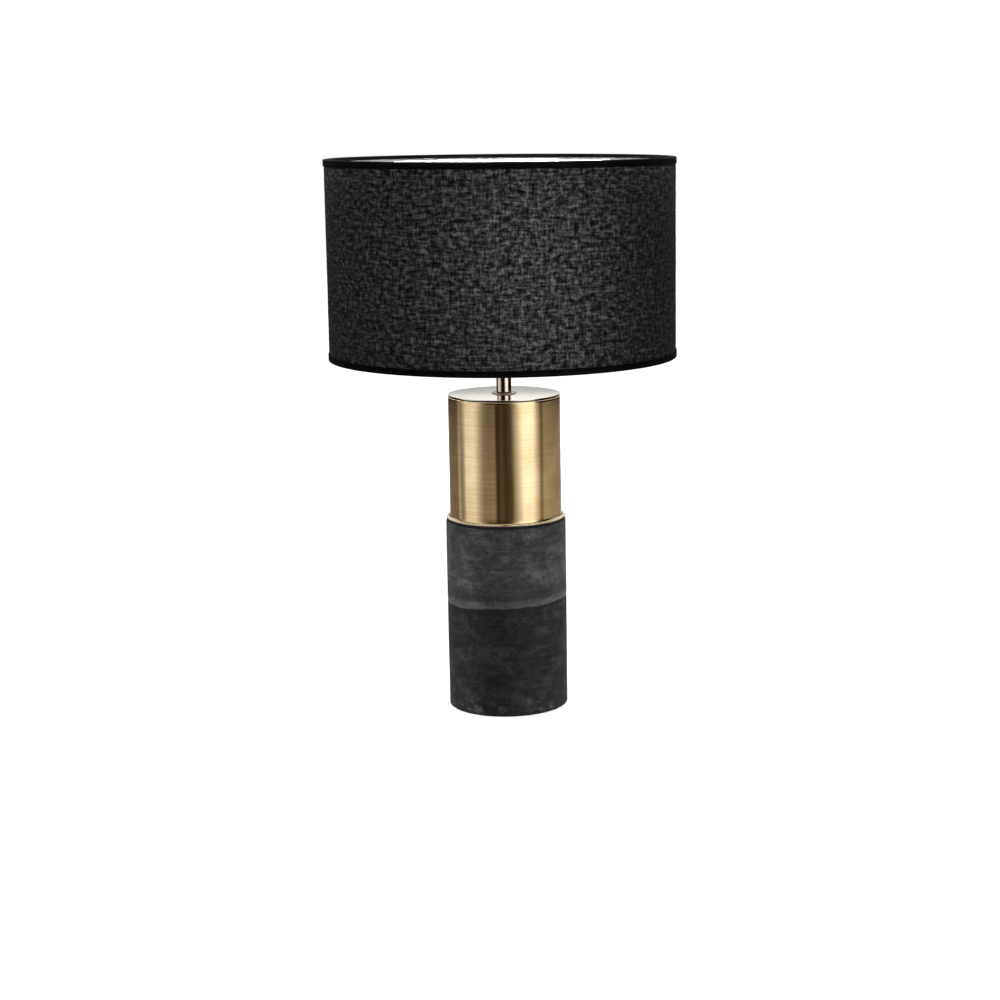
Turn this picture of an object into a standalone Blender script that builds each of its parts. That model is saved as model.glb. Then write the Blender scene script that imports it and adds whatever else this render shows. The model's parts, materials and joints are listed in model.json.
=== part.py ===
"""Table lamp: concrete and brass base, bronze stem, E27 lampholder, LED bulb and drum shade.

Metres, +Z up. The origin is on the lamp's vertical axis, on the surface that the felt pad
stands on. Each sub-part is one closed solid, and pieces that touch keep GAP between them.
Turned pieces are outlines of (radius, height) points whose outer side runs downwards.
"""
import math

import bmesh
import bpy
from mathutils import Matrix, Vector

MM = 0.001
GAP = 0.3 * MM
MERGE = 0.001 * MM

# Facets round a turned piece
WIDE_STEPS = 48
ROUND_STEPS = 32
THREAD_STEPS = 24
SMALL_STEPS = 16

# Base, from the floor up
PAD_R = 56.0 * MM
PAD_THICK = 3.0 * MM
PAD_STANDS_PROUD = 1.0 * MM
CONCRETE_R = 61.2 * MM
CONCRETE_TOP = 194.7 * MM
CONCRETE_ARRIS = 1.6 * MM
CONCRETE_BORE_R = 46.0 * MM
DECK_THICK = 18.0 * MM
REBATE_R = 50.0 * MM
REBATE_TOP = 16.3 * MM
PLATE_THICK = 2.0 * MM
CORD_HOLE_Z = 8.7 * MM
CORD_HOLE_R = 4.8 * MM
GASKET_R = 60.2 * MM
GASKET_THICK = 2.0 * MM

# Brass cylinder and its top plate
BRASS_R = 56.9 * MM
BRASS_WALL = 1.0 * MM
BRASS_TOP = 321.4 * MM
FOOT_R = 60.6 * MM
FLARE_R = 2.2 * MM
SEAM_HEIGHT = 1.6 * MM
SEAM_DEPTH = 0.3 * MM
TOP_PLATE_R = 56.6 * MM
TOP_PLATE_THICK = 0.8 * MM
SPIGOT_DEPTH = 5.0 * MM

# Hollow rod and stem
ROD_R = 5.0 * MM
ROD_BORE_R = 3.75 * MM
ROD_BOTTOM = 5.0 * MM
ROD_HOLE_R = ROD_R + GAP
FLANGE_R = 12.5 * MM
FLANGE_THICK = 1.0 * MM
STEM_R = 7.6 * MM
STEM_BORE_R = 6.5 * MM
STEM_TOP = 369.0 * MM
ROD_TOP = STEM_TOP + 9.0 * MM

# Lampholder
CAP_NECK_R = 8.5 * MM
CAP_R = 19.0 * MM
CAP_WALL = 2.0 * MM
CAP_NECK_HEIGHT = 9.5 * MM
CAP_TOP = STEM_TOP + 25.5 * MM
SKIRT_R = 19.5 * MM
SKIRT_BORE_R = 17.0 * MM
SKIRT_TOP = STEM_TOP + 64.0 * MM
SHOULDER_R = 24.0 * MM
SHOULDER_TOP = STEM_TOP + 34.0 * MM
SHOULDER_THICK = 2.0 * MM
CORE_R = 14.4 * MM
CORE_BOTTOM = STEM_TOP + 20.4 * MM
CORE_TOP = STEM_TOP + 30.0 * MM
SHELL_TOP = CORE_TOP + 20.5 * MM
TERMINAL_OFFSET = 8.0 * MM

# E27 thread: a rolled wave, right-handed
PITCH = 3.629 * MM
THREAD_SWING = 0.45 * MM
THREAD_RINGS_PER_TURN = 6
CAP_THREAD_R = 12.6 * MM
SHELL_WALL = 0.5 * MM
SHELL_THREAD_TURNS = 4
THREAD_CLEARANCE = 0.35 * MM

# LED bulb
CONTACT_BOTTOM = CORE_TOP + 2.9 * MM
INSULATOR_R = 9.0 * MM
BULB_THREAD_LOW = CORE_TOP + 8.0 * MM
BULB_THREAD_TURNS = 4
BULB_CAP_WALL = 0.5 * MM
BULB_CAP_TOP = BULB_THREAD_LOW + 20.0 * MM
BULB_R = 30.0 * MM
BULB_TOP = BULB_CAP_TOP + 85.5 * MM
BULB_WALL = 1.2 * MM

# Shade
SHADE_R = 175.2 * MM
SHADE_BOTTOM = 360.9 * MM
SHADE_TOP = 559.5 * MM
TRIM_THICK = 0.4 * MM
TRIM_BAND = 6.6 * MM
TRIM_FOLD_TOP = 3.8 * MM
TRIM_FOLD_BOTTOM = 3.1 * MM
FABRIC_THICK = 0.6 * MM
LINER_THICK = 0.5 * MM
WIRE_R = 1.25 * MM
WIRE_SIDES = 6
FITTER_INNER_R = 20.2 * MM
FITTER_R = 32.0 * MM
FITTER_THICK = 1.5 * MM
ARM_COUNT = 3
RING_R = 28.0 * MM
RING_HEIGHT = 8.0 * MM
RING_GRIPS = 12

# Heights and radii that follow from the ones above
CONCRETE_BOTTOM = PAD_STANDS_PROUD
RECESS_TOP = PAD_THICK + GAP
PLATE_TOP = REBATE_TOP - GAP
WASHER_TOP = PLATE_TOP - PLATE_THICK - GAP
GASKET_BOTTOM = CONCRETE_TOP + GAP
BRASS_BOTTOM = GASKET_BOTTOM + GASKET_THICK + GAP
TOP_PLATE_BOTTOM = BRASS_TOP + SEAM_HEIGHT
TOP_PLATE_TOP = TOP_PLATE_BOTTOM + TOP_PLATE_THICK
FLANGE_BOTTOM = TOP_PLATE_TOP + GAP
STEM_BOTTOM = FLANGE_BOTTOM + FLANGE_THICK + GAP
CAP_BOTTOM = STEM_TOP + GAP
FITTER_BOTTOM = SHOULDER_TOP + GAP
FITTER_TOP = FITTER_BOTTOM + FITTER_THICK
RING_BOTTOM = FITTER_TOP + GAP
FABRIC_R = SHADE_R - TRIM_THICK - GAP
LINER_R = FABRIC_R - FABRIC_THICK - GAP
WIRE_RING_R = LINER_R - LINER_THICK - GAP - WIRE_R
TRIM_INNER_R = WIRE_RING_R - WIRE_R - GAP - TRIM_THICK
EDGE_INSET = TRIM_THICK + GAP
LOWER_WIRE_Z = SHADE_BOTTOM + EDGE_INSET + WIRE_R
UPPER_WIRE_Z = SHADE_TOP - EDGE_INSET - WIRE_R

# Finishes: base colour, metallic, roughness
FINISHES = {
    "black_linen": ((0.028, 0.028, 0.028), 0.0, 0.9),
    "black_binding": ((0.008, 0.008, 0.008), 0.0, 0.6),
    "white_styrene": ((0.82, 0.81, 0.78), 0.0, 0.5),
    "antique_brass": ((0.62, 0.46, 0.24), 1.0, 0.25),
    "satin_brass": ((0.78, 0.74, 0.64), 1.0, 0.25),
    "dark_bronze": ((0.20, 0.12, 0.08), 1.0, 0.2),
    "zinc_steel": ((0.60, 0.61, 0.62), 1.0, 0.35),
    "concrete": ((0.045, 0.045, 0.045), 0.0, 0.85),
    "black_felt": ((0.02, 0.02, 0.02), 0.0, 0.95),
    "black_rubber": ((0.015, 0.015, 0.015), 0.0, 0.7),
    "black_phenolic": ((0.02, 0.02, 0.02), 0.0, 0.35),
    "contact_brass": ((0.78, 0.60, 0.30), 1.0, 0.3),
    "nickel": ((0.70, 0.69, 0.66), 1.0, 0.25),
    "white_plastic": ((0.80, 0.80, 0.78), 0.0, 0.4),
    "opal_plastic": ((0.88, 0.88, 0.86), 0.0, 0.3),
    "circuit_board": ((0.05, 0.20, 0.09), 0.0, 0.5),
}


def remove_everything():
    """Empty the file's scene, object by object."""
    for obj in list(bpy.data.objects):
        bpy.data.objects.remove(obj, do_unlink=True)


def new_collection(name):
    collection = bpy.data.collections.new(name)
    bpy.context.scene.collection.children.link(collection)
    return collection


def finish_material(obj, finish):
    """Give an object a Principled BSDF material of its own."""
    colour, metallic, roughness = FINISHES[finish]
    material = bpy.data.materials.new(f"{obj.name}_{finish}")
    material.use_nodes = True
    shader = material.node_tree.nodes["Principled BSDF"]
    shader.inputs["Base Color"].default_value = (*colour, 1.0)
    shader.inputs["Metallic"].default_value = metallic
    shader.inputs["Roughness"].default_value = roughness
    obj.data.materials.append(material)


def add_part(name, data, finish, parent=None):
    """Link a named sub-part, under the empty of the body that it moves with."""
    obj = bpy.data.objects.new(name, data)
    PARTS.objects.link(obj)
    obj.parent = parent
    finish_material(obj, finish)
    return obj


def add_cutter(name, mesh, matrix=Matrix()):
    obj = bpy.data.objects.new(name, mesh)
    CUTTERS.objects.link(obj)
    obj.matrix_world = matrix
    obj.hide_render = True
    obj.display_type = "WIRE"
    return obj


def add_pivot(name, parent=None):
    """An empty on the lamp's axis, for the pieces of one moving body."""
    pivot = bpy.data.objects.new(name, None)
    pivot.empty_display_size = 0.02
    PARTS.objects.link(pivot)
    pivot.parent = parent
    return pivot


def boolean(obj, cutter, operation="DIFFERENCE"):
    modifier = obj.modifiers.new(cutter.name, "BOOLEAN")
    modifier.object = cutter
    modifier.operation = operation
    modifier.solver = "EXACT"


def arc(centre_r, centre_z, radius, start_deg, end_deg, count):
    """Points of an arc in an outline; 0 degrees is outwards and 90 is up."""
    points = []
    for i in range(count + 1):
        angle = math.radians(start_deg + (end_deg - start_deg) * i / count)
        points.append((centre_r + radius * math.cos(angle), centre_z + radius * math.sin(angle)))
    return points


def turned(name, outline, finish, steps=ROUND_STEPS, parent=None):
    """Turn an outline about Z. One that starts and ends on the axis makes a solid core."""
    mesh = bpy.data.meshes.new(name)
    vertices = [(radius, 0.0, height) for radius, height in outline]
    edges = [(i, i + 1) for i in range(len(outline) - 1)]
    if outline[0][0] > 0.0:
        edges.append((len(outline) - 1, 0))
    mesh.from_pydata(vertices, edges, [])
    obj = add_part(name, mesh, finish, parent)
    screw = obj.modifiers.new("turn", "SCREW")
    screw.axis = "Z"
    screw.steps = steps
    screw.render_steps = steps
    screw.use_merge_vertices = True
    screw.merge_threshold = MERGE
    return obj


def washer(name, inner, outer, low, high, finish, steps=ROUND_STEPS, parent=None):
    outline = [(outer, high), (outer, low), (inner, low), (inner, high)]
    return turned(name, outline, finish, steps, parent)


def cylinder_mesh(name, radius, depth, segments):
    """A closed cylinder about Z, centred on the origin."""
    mesh = bpy.data.meshes.new(name)
    shape = bmesh.new()
    bmesh.ops.create_cone(
        shape, cap_ends=True, segments=segments, radius1=radius, radius2=radius, depth=depth
    )
    shape.to_mesh(mesh)
    shape.free()
    return mesh


def box_mesh(name, size):
    mesh = bpy.data.meshes.new(name)
    shape = bmesh.new()
    bmesh.ops.create_cube(shape, size=1.0)
    bmesh.ops.scale(shape, vec=Vector(size), verts=shape.verts)
    shape.to_mesh(mesh)
    shape.free()
    return mesh


def wire(name, points, radius, finish, closed=False, parent=None):
    """A round wire along a polyline, with filled ends where it is open."""
    curve = bpy.data.curves.new(name, "CURVE")
    curve.dimensions = "3D"
    curve.bevel_depth = radius
    curve.bevel_resolution = 2
    curve.use_fill_caps = not closed
    spline = curve.splines.new("POLY")
    spline.points.add(len(points) - 1)
    for point, place in zip(spline.points, points):
        point.co = (*place, 1.0)
    spline.use_cyclic_u = closed
    return add_part(name, curve, finish, parent)


def settle(obj):
    """Apply a part's modifiers, then shade it smooth with its arrises sharp."""
    evaluated = obj.evaluated_get(bpy.context.evaluated_depsgraph_get())
    mesh = bpy.data.meshes.new_from_object(evaluated)
    mesh.name = obj.name
    obj.modifiers.clear()
    obj.data = mesh
    mesh.shade_smooth()
    mesh.set_sharp_from_angle(angle=math.radians(35.0))


def roll_thread(obj, wall_r, low, high, swing):
    """Roll a right-hand thread into a wall: its crests go 2 * swing out, or in if negative."""
    for vertex in obj.data.vertices:
        radius = math.hypot(vertex.co.x, vertex.co.y)
        if abs(radius - wall_r) > MERGE or not low < vertex.co.z < high:
            continue
        angle = math.atan2(vertex.co.y, vertex.co.x)
        wave = math.cos(math.tau * vertex.co.z / PITCH - angle)
        scale = (wall_r + swing + abs(swing) * wave) / radius
        vertex.co.x *= scale
        vertex.co.y *= scale


def thread_rings(radius, low, high):
    """Outline points that step down a wall closely enough to carry the thread."""
    step = PITCH / THREAD_RINGS_PER_TURN
    count = round((high - low) / step)
    return [(radius, high - (high - low) * i / count) for i in range(count + 1)]


# ---------------------------------------------------------------- base


def make_pad():
    outline = [
        (0.0, PAD_THICK),
        (PAD_R, PAD_THICK),
        (PAD_R, 0.0),
        (0.0, 0.0),
    ]
    turned("felt_pad", outline, "black_felt", WIDE_STEPS)


def make_concrete():
    """Hollow casting: a deck on top, a recess for the pad and a rebate for the clamping plate."""
    low = CONCRETE_BOTTOM
    top_arris = 1.0 * MM
    recess_r = PAD_R + 2 * GAP
    deck_low = CONCRETE_TOP - DECK_THICK
    deck_bore_r = ROD_R + 1.0 * MM
    outline = arc(CONCRETE_R - top_arris, CONCRETE_TOP - top_arris, top_arris, 90, 0, 2)
    outline += arc(CONCRETE_R - CONCRETE_ARRIS, low + CONCRETE_ARRIS, CONCRETE_ARRIS, 0, -90, 4)
    outline += [
        (recess_r, low),
        (recess_r, RECESS_TOP),
        (REBATE_R, RECESS_TOP),
        (REBATE_R, REBATE_TOP),
        (CONCRETE_BORE_R, REBATE_TOP),
        (CONCRETE_BORE_R, deck_low),
        (deck_bore_r, deck_low),
        (deck_bore_r, CONCRETE_TOP),
    ]
    body = turned("concrete_body", outline, "concrete", WIDE_STEPS)
    hole_length = 3 * (CONCRETE_R - REBATE_R)
    hole = cylinder_mesh("cord_hole", CORD_HOLE_R, hole_length, SMALL_STEPS)
    place = Matrix.Translation((0.0, (CONCRETE_R + REBATE_R) / 2, CORD_HOLE_Z))
    cutter = add_cutter("cord_hole", hole, place @ Matrix.Rotation(math.pi / 2, 4, "X"))
    boolean(body, cutter)


def make_grommet():
    """Flanged bush in the rear cord hole, turned about its own axis and laid along +Y."""
    shank_r = CORD_HOLE_R - GAP
    flange_r = 6.5 * MM
    flange_thick = 2.0 * MM
    short_of_rebate = 1.0 * MM
    shank = CONCRETE_R - REBATE_R - short_of_rebate
    bore_r = 3.25 * MM
    lead_in = 0.8 * MM
    outline = [
        (bore_r + lead_in, flange_thick),
        (flange_r - lead_in, flange_thick),
        (flange_r, flange_thick - lead_in),
        (flange_r, 0.0),
        (shank_r, 0.0),
        (shank_r, -shank),
        (bore_r, -shank),
        (bore_r, flange_thick - lead_in),
    ]
    grommet = turned("cord_grommet", outline, "black_rubber", SMALL_STEPS)
    grommet.location = (0.0, CONCRETE_R + GAP, CORD_HOLE_Z)
    grommet.rotation_euler = (-math.pi / 2, 0.0, 0.0)


def make_clamp():
    """Plate, washer and nut that pull the rod down inside the concrete."""
    washer_r = 12.0 * MM
    washer_thick = 2.0 * MM
    nut_across_flats = 14.0 * MM
    nut_height = 4.0 * MM
    low = PLATE_TOP - PLATE_THICK
    washer("bottom_plate", ROD_HOLE_R, REBATE_R - GAP, low, PLATE_TOP, "zinc_steel")
    washer(
        "lower_washer", ROD_HOLE_R, washer_r, WASHER_TOP - washer_thick, WASHER_TOP,
        "zinc_steel", SMALL_STEPS,
    )
    nut_top = WASHER_TOP - washer_thick - GAP
    corner_r = nut_across_flats / math.sqrt(3.0)
    nut = add_part("lower_nut", cylinder_mesh("lower_nut", corner_r, nut_height, 6), "zinc_steel")
    nut.location = (0.0, 0.0, nut_top - nut_height / 2)
    bore = cylinder_mesh("nut_bore", ROD_HOLE_R, 3 * nut_height, SMALL_STEPS)
    boolean(nut, add_cutter("nut_bore", bore, Matrix.Translation(nut.location)))


def make_rod():
    washer("threaded_rod", ROD_BORE_R, ROD_R, ROD_BOTTOM, ROD_TOP, "zinc_steel", THREAD_STEPS)


def make_brass_cylinder():
    """Gasket, spun brass tube with its flared foot, centring disc and top plate."""
    gasket_inner = 44.0 * MM
    disc_thick = 2.0 * MM
    plate_edge = 0.3 * MM
    foot_edge = 0.3 * MM
    inside_r = BRASS_R - BRASS_WALL
    fitting_r = inside_r - GAP
    washer(
        "gasket_ring", gasket_inner, GASKET_R, GASKET_BOTTOM, GASKET_BOTTOM + GASKET_THICK,
        "black_rubber", WIDE_STEPS,
    )
    flare_centre = (BRASS_R + FLARE_R, BRASS_BOTTOM + BRASS_WALL + FLARE_R)
    outline = [(BRASS_R, BRASS_TOP)]
    outline += arc(*flare_centre, FLARE_R, 180, 270, 4)
    outline += arc(FOOT_R - foot_edge, BRASS_BOTTOM + BRASS_WALL - foot_edge, foot_edge, 90, 0, 2)
    outline += [(FOOT_R, BRASS_BOTTOM)]
    outline += arc(*flare_centre, FLARE_R + BRASS_WALL, 270, 180, 4)
    outline += [(inside_r, BRASS_TOP)]
    turned("brass_tube", outline, "antique_brass", WIDE_STEPS)
    disc_top = BRASS_BOTTOM + disc_thick
    washer("tube_centring_disc", ROD_HOLE_R, fitting_r, BRASS_BOTTOM, disc_top, "zinc_steel")
    neck_r = TOP_PLATE_R - SEAM_DEPTH
    outline = [(ROD_HOLE_R, TOP_PLATE_TOP)]
    outline += arc(TOP_PLATE_R - plate_edge, TOP_PLATE_TOP - plate_edge, plate_edge, 90, 0, 2)
    outline += [
        (TOP_PLATE_R, TOP_PLATE_BOTTOM),
        (neck_r, TOP_PLATE_BOTTOM),
        (neck_r, BRASS_TOP + GAP),
        (fitting_r, BRASS_TOP + GAP),
        (fitting_r, TOP_PLATE_BOTTOM - SPIGOT_DEPTH),
        (ROD_HOLE_R, TOP_PLATE_BOTTOM - SPIGOT_DEPTH),
    ]
    turned("top_plate", outline, "satin_brass", WIDE_STEPS)


def make_stem():
    edge = 0.5 * MM
    outline = [(ROD_HOLE_R, FLANGE_BOTTOM + FLANGE_THICK)]
    outline += arc(
        FLANGE_R - edge, FLANGE_BOTTOM + FLANGE_THICK - edge, edge, 90, 0, 2
    )
    outline += [(FLANGE_R, FLANGE_BOTTOM), (ROD_HOLE_R, FLANGE_BOTTOM)]
    turned("stem_flange", outline, "dark_bronze")
    washer("stem_tube", STEM_BORE_R, STEM_R, STEM_BOTTOM, STEM_TOP, "dark_bronze")


# ---------------------------------------------------------------- lampholder


def make_holder_cap():
    """Dome that screws on the rod, with a radial grub screw in its neck."""
    floor = CAP_BOTTOM + CAP_NECK_HEIGHT
    swell = CAP_R - CAP_NECK_R
    dome_low = floor - 3.0 * MM
    edge = 0.8 * MM
    outline = [(CAP_R - edge, CAP_TOP), (CAP_R, CAP_TOP - edge)]
    outline += arc(CAP_NECK_R, dome_low + swell, swell, 0, -80, 5)
    outline += [
        (CAP_NECK_R, dome_low - CAP_WALL),
        (CAP_NECK_R, CAP_BOTTOM),
        (ROD_HOLE_R, CAP_BOTTOM),
        (ROD_HOLE_R, floor),
        (CAP_NECK_R, floor),
        (CAP_R - CAP_WALL, dome_low + swell + edge),
        (CAP_R - CAP_WALL, CAP_TOP),
    ]
    cap = turned("holder_cap", outline, "black_phenolic")
    screw_r = 1.8 * MM
    screw_length = 3.2 * MM
    screw_z = CAP_BOTTOM + 2.6 * MM
    slot = (0.6 * MM, 4 * screw_r, 1.6 * MM)
    middle = Vector((0.0, (ROD_HOLE_R + CAP_NECK_R) / 2 + GAP, screw_z))
    turn = Matrix.Rotation(-math.pi / 2, 4, "X")
    tapping = cylinder_mesh("grub_hole", screw_r + GAP, 2.5 * screw_length, SMALL_STEPS)
    boolean(cap, add_cutter("grub_hole", tapping, Matrix.Translation(middle) @ turn))
    screw_mesh = cylinder_mesh("grub_screw", screw_r, screw_length, SMALL_STEPS)
    screw = add_part("grub_screw", screw_mesh, "zinc_steel")
    screw.location = middle
    screw.rotation_euler = (-math.pi / 2, 0.0, 0.0)
    slot_place = Matrix.Translation(middle) @ turn @ Matrix.Translation((0, 0, screw_length / 2))
    boolean(screw, add_cutter("grub_slot", box_mesh("grub_slot", slot), slot_place))


def make_holder_skirt():
    """Skirt with the shoulder that the shade rests on and a spigot down into the cap."""
    spigot_r = CAP_R - CAP_WALL - GAP
    spigot_bottom = CORE_BOTTOM - GAP
    rim = 0.8 * MM
    under_shoulder = 1.5 * MM
    ledge_low = CORE_TOP + 1.0 * MM
    ledge_rise = 3.0 * MM
    outline = [
        (SKIRT_BORE_R, SKIRT_TOP),
        (SKIRT_R - rim, SKIRT_TOP),
        (SKIRT_R, SKIRT_TOP - rim),
        (SKIRT_R, SHOULDER_TOP),
        (SHOULDER_R, SHOULDER_TOP),
        (SHOULDER_R, SHOULDER_TOP - SHOULDER_THICK),
        (CAP_R, SHOULDER_TOP - SHOULDER_THICK - under_shoulder),
        (CAP_R, CAP_TOP + GAP),
        (spigot_r, CAP_TOP + GAP),
        (spigot_r, spigot_bottom),
        (CORE_R + GAP, spigot_bottom),
        (CORE_R + GAP, ledge_low),
        (SKIRT_BORE_R, ledge_low + ledge_rise),
    ]
    turned("holder_skirt", outline, "black_phenolic")


def make_holder_core():
    """Insulating core with its two terminal screws, the screw shell and the centre spring."""
    core_mesh = cylinder_mesh("holder_core", CORE_R, CORE_TOP - CORE_BOTTOM, ROUND_STEPS)
    core = add_part("holder_core", core_mesh, "black_phenolic")
    core.location = (0.0, 0.0, (CORE_TOP + CORE_BOTTOM) / 2)
    shank_r = 1.5 * MM
    shank_length = 5.0 * MM
    head_r = 2.8 * MM
    head_thick = 1.8 * MM
    for number, side in enumerate((-1, 1), start=1):
        place = Vector((side * TERMINAL_OFFSET, 0.0, CORE_BOTTOM))
        hole = cylinder_mesh("terminal_hole", shank_r + GAP, 2 * (shank_length + GAP), SMALL_STEPS)
        boolean(core, add_cutter(f"terminal_hole_{number}", hole, Matrix.Translation(place)))
        outline = [
            (0.0, shank_length),
            (shank_r, shank_length),
            (shank_r, -GAP),
            (head_r, -GAP),
            (head_r, -GAP - head_thick),
            (0.0, -GAP - head_thick),
        ]
        screw = turned(f"terminal_screw_{number}", outline, "contact_brass", SMALL_STEPS)
        screw.location = place
        slot = box_mesh("terminal_slot", (0.7 * MM, 3 * head_r, 1.6 * MM))
        slot_place = Matrix.Translation(place - Vector((0.0, 0.0, GAP + head_thick)))
        boolean(screw, add_cutter(f"terminal_slot_{number}", slot, slot_place))


def make_screw_shell():
    """Brass shell with the internal thread that the bulb screws into."""
    inner_r = CAP_THREAD_R + THREAD_SWING + THREAD_CLEARANCE
    outer_r = inner_r + SHELL_WALL
    low = CORE_TOP + GAP
    thread_low = SHELL_TOP - SHELL_THREAD_TURNS * PITCH
    outline = [(outer_r, SHELL_TOP), (outer_r, low), (inner_r, low)]
    outline += thread_rings(inner_r, thread_low, SHELL_TOP)[::-1]
    shell = turned("screw_shell", outline, "contact_brass", THREAD_STEPS)
    settle(shell)
    roll_thread(shell, inner_r, thread_low + MERGE, SHELL_TOP + MERGE, -THREAD_SWING)


def make_centre_contact():
    """Bent brass strip on the core, standing up under the bulb's centre contact."""
    thick = 0.5 * MM
    width = 5.0 * MM
    foot = CORE_TOP + GAP
    crest = CONTACT_BOTTOM - GAP
    path = [
        (-9.0 * MM, foot),
        (-4.5 * MM, foot),
        (-1.5 * MM, crest - thick),
        (1.5 * MM, crest - thick),
        (5.0 * MM, foot + 0.8 * MM),
    ]
    curve = bpy.data.curves.new("centre_contact", "CURVE")
    curve.dimensions = "2D"
    curve.fill_mode = "BOTH"
    curve.extrude = width / 2
    spline = curve.splines.new("POLY")
    outline = path + [(x, z + thick) for x, z in reversed(path)]
    spline.points.add(len(outline) - 1)
    for point, (x, z) in zip(spline.points, outline):
        point.co = (x, z, 0.0, 1.0)
    spline.use_cyclic_u = True
    strip = add_part("centre_contact", curve, "contact_brass")
    strip.rotation_euler = (math.pi / 2, 0.0, 0.0)


# ---------------------------------------------------------------- bulb


def make_bulb_contact(pivot):
    """Centre contact and its insulator: round pieces that rise with the bulb."""
    contact_r = 3.6 * MM
    contact_top = CONTACT_BOTTOM + 1.6 * MM
    bulge = 0.6 * MM
    seat_wall = 1.0 * MM
    seat_depth = 0.4 * MM
    outline = [
        (0.0, contact_top),
        (contact_r, contact_top),
        (contact_r, CONTACT_BOTTOM + bulge),
        (contact_r - bulge, CONTACT_BOTTOM),
        (0.0, CONTACT_BOTTOM),
    ]
    turned("cap_contact", outline, "nickel", SMALL_STEPS, pivot)
    insulator_low = contact_top - seat_depth
    insulator_top = BULB_THREAD_LOW - 2 * BULB_CAP_WALL
    seat_r = contact_r + GAP
    outline = [
        (0.0, insulator_top),
        (INSULATOR_R, insulator_top),
        (seat_r + seat_wall, insulator_low),
        (seat_r, insulator_low),
        (seat_r, contact_top + GAP),
        (0.0, contact_top + GAP),
    ]
    turned("cap_insulator", outline, "black_phenolic", SMALL_STEPS, pivot)


def make_bulb_cap(pivot):
    """Screw cap: a thin shell with the E27 thread, closed in towards the insulator."""
    wall = BULB_CAP_WALL
    root_r = CAP_THREAD_R - THREAD_SWING
    inner_r = root_r - wall
    top_r = CAP_THREAD_R + THREAD_SWING
    thread_high = BULB_THREAD_LOW + BULB_THREAD_TURNS * PITCH
    neck_z = BULB_THREAD_LOW - 1.6 * MM
    band_low = thread_high + 1.0 * MM
    insulator_clear_r = INSULATOR_R + GAP
    outline = [
        (top_r - wall, BULB_CAP_TOP),
        (top_r, BULB_CAP_TOP),
        (top_r, band_low),
    ]
    outline += thread_rings(root_r, BULB_THREAD_LOW, thread_high)
    outline += [
        (insulator_clear_r + wall, neck_z),
        (insulator_clear_r, neck_z),
        (insulator_clear_r, BULB_THREAD_LOW),
        (inner_r, BULB_THREAD_LOW + wall),
        (inner_r, band_low),
        (top_r - wall, band_low + wall),
    ]
    cap = turned("bulb_cap", outline, "nickel", THREAD_STEPS, pivot)
    settle(cap)
    roll_thread(cap, root_r, BULB_THREAD_LOW + MERGE, thread_high - MERGE, THREAD_SWING)


def make_bulb_body(pivot):
    """Plastic housing, driver and LED boards, and the opal dome."""
    collar_r = CAP_THREAD_R + THREAD_SWING - BULB_CAP_WALL - GAP
    collar_height = 3.0 * MM
    collar_low = BULB_CAP_TOP - collar_height
    foot_r = 14.4 * MM
    equator_z = BULB_TOP - BULB_R
    split_drop = 14.0 * MM
    split_z = equator_z - split_drop
    rim_width = 2.4 * MM
    split_r = math.sqrt(BULB_R**2 - split_drop**2) + rim_width
    foot_z = BULB_CAP_TOP + GAP
    flare = []
    flare_points = 5
    for i in range(flare_points + 1):
        rise = i / flare_points
        radius = foot_r + (split_r - foot_r) * math.sin(rise * math.pi / 2) ** 1.25
        flare.append((radius, foot_z + (split_z - foot_z) * rise))
    outline = flare[::-1]
    outline += [(collar_r, foot_z), (collar_r, collar_low), (collar_r - BULB_WALL, collar_low)]
    outline += [(radius - BULB_WALL, height) for radius, height in flare]
    turned("bulb_housing", outline, "white_plastic", ROUND_STEPS, pivot)

    board_z = split_z - 5.0 * MM
    board_r = 24.5 * MM
    board_thick = 1.5 * MM
    disc = cylinder_mesh("led_board", board_r, board_thick, ROUND_STEPS)
    board = add_part("led_board", disc, "zinc_steel", pivot)
    board.location = (0.0, 0.0, board_z)
    chip_ring_r = 15.0 * MM
    chips = 8
    chip_size = (3.0 * MM, 3.0 * MM, 1.2 * MM)
    chip_place = Matrix.Translation((chip_ring_r, 0.0, board_z + chip_size[2]))
    for i in range(chips):
        place = Matrix.Rotation(math.tau * i / chips, 4, "Z") @ chip_place
        chip = box_mesh("led_chip", chip_size)
        boolean(board, add_cutter(f"led_chip_{i + 1}", chip, place), "UNION")

    driver_top = board_z - 2.0 * MM
    driver_low = foot_z + 4.0 * MM
    driver_size = (1.6 * MM, 19.0 * MM, driver_top - driver_low)
    driver = add_part("driver_board", box_mesh("driver_board", driver_size), "circuit_board", pivot)
    driver.location = (0.0, 0.0, (driver_top + driver_low) / 2)
    coil_size = (8.0 * MM, 9.0 * MM, 9.0 * MM)
    coil_offset = Vector((3.0 * MM, 0.0, 4.0 * MM))
    coil = box_mesh("driver_coil", coil_size)
    coil_place = Matrix.Translation(driver.location + coil_offset)
    boolean(driver, add_cutter("driver_coil", coil, coil_place), "UNION")

    dome_r = BULB_R
    low_z = split_z + GAP
    start = math.degrees(math.asin((low_z - equator_z) / dome_r))
    outline = [(0.0, BULB_TOP)]
    outline += arc(0.0, equator_z, dome_r, 90, start, 12)[1:]
    inner = arc(0.0, equator_z, dome_r - BULB_WALL, start, 90, 10)
    outline += inner[:-1] + [(0.0, BULB_TOP - BULB_WALL)]
    turned("bulb_diffuser", outline, "opal_plastic", ROUND_STEPS, pivot)


# ---------------------------------------------------------------- shade


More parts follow.
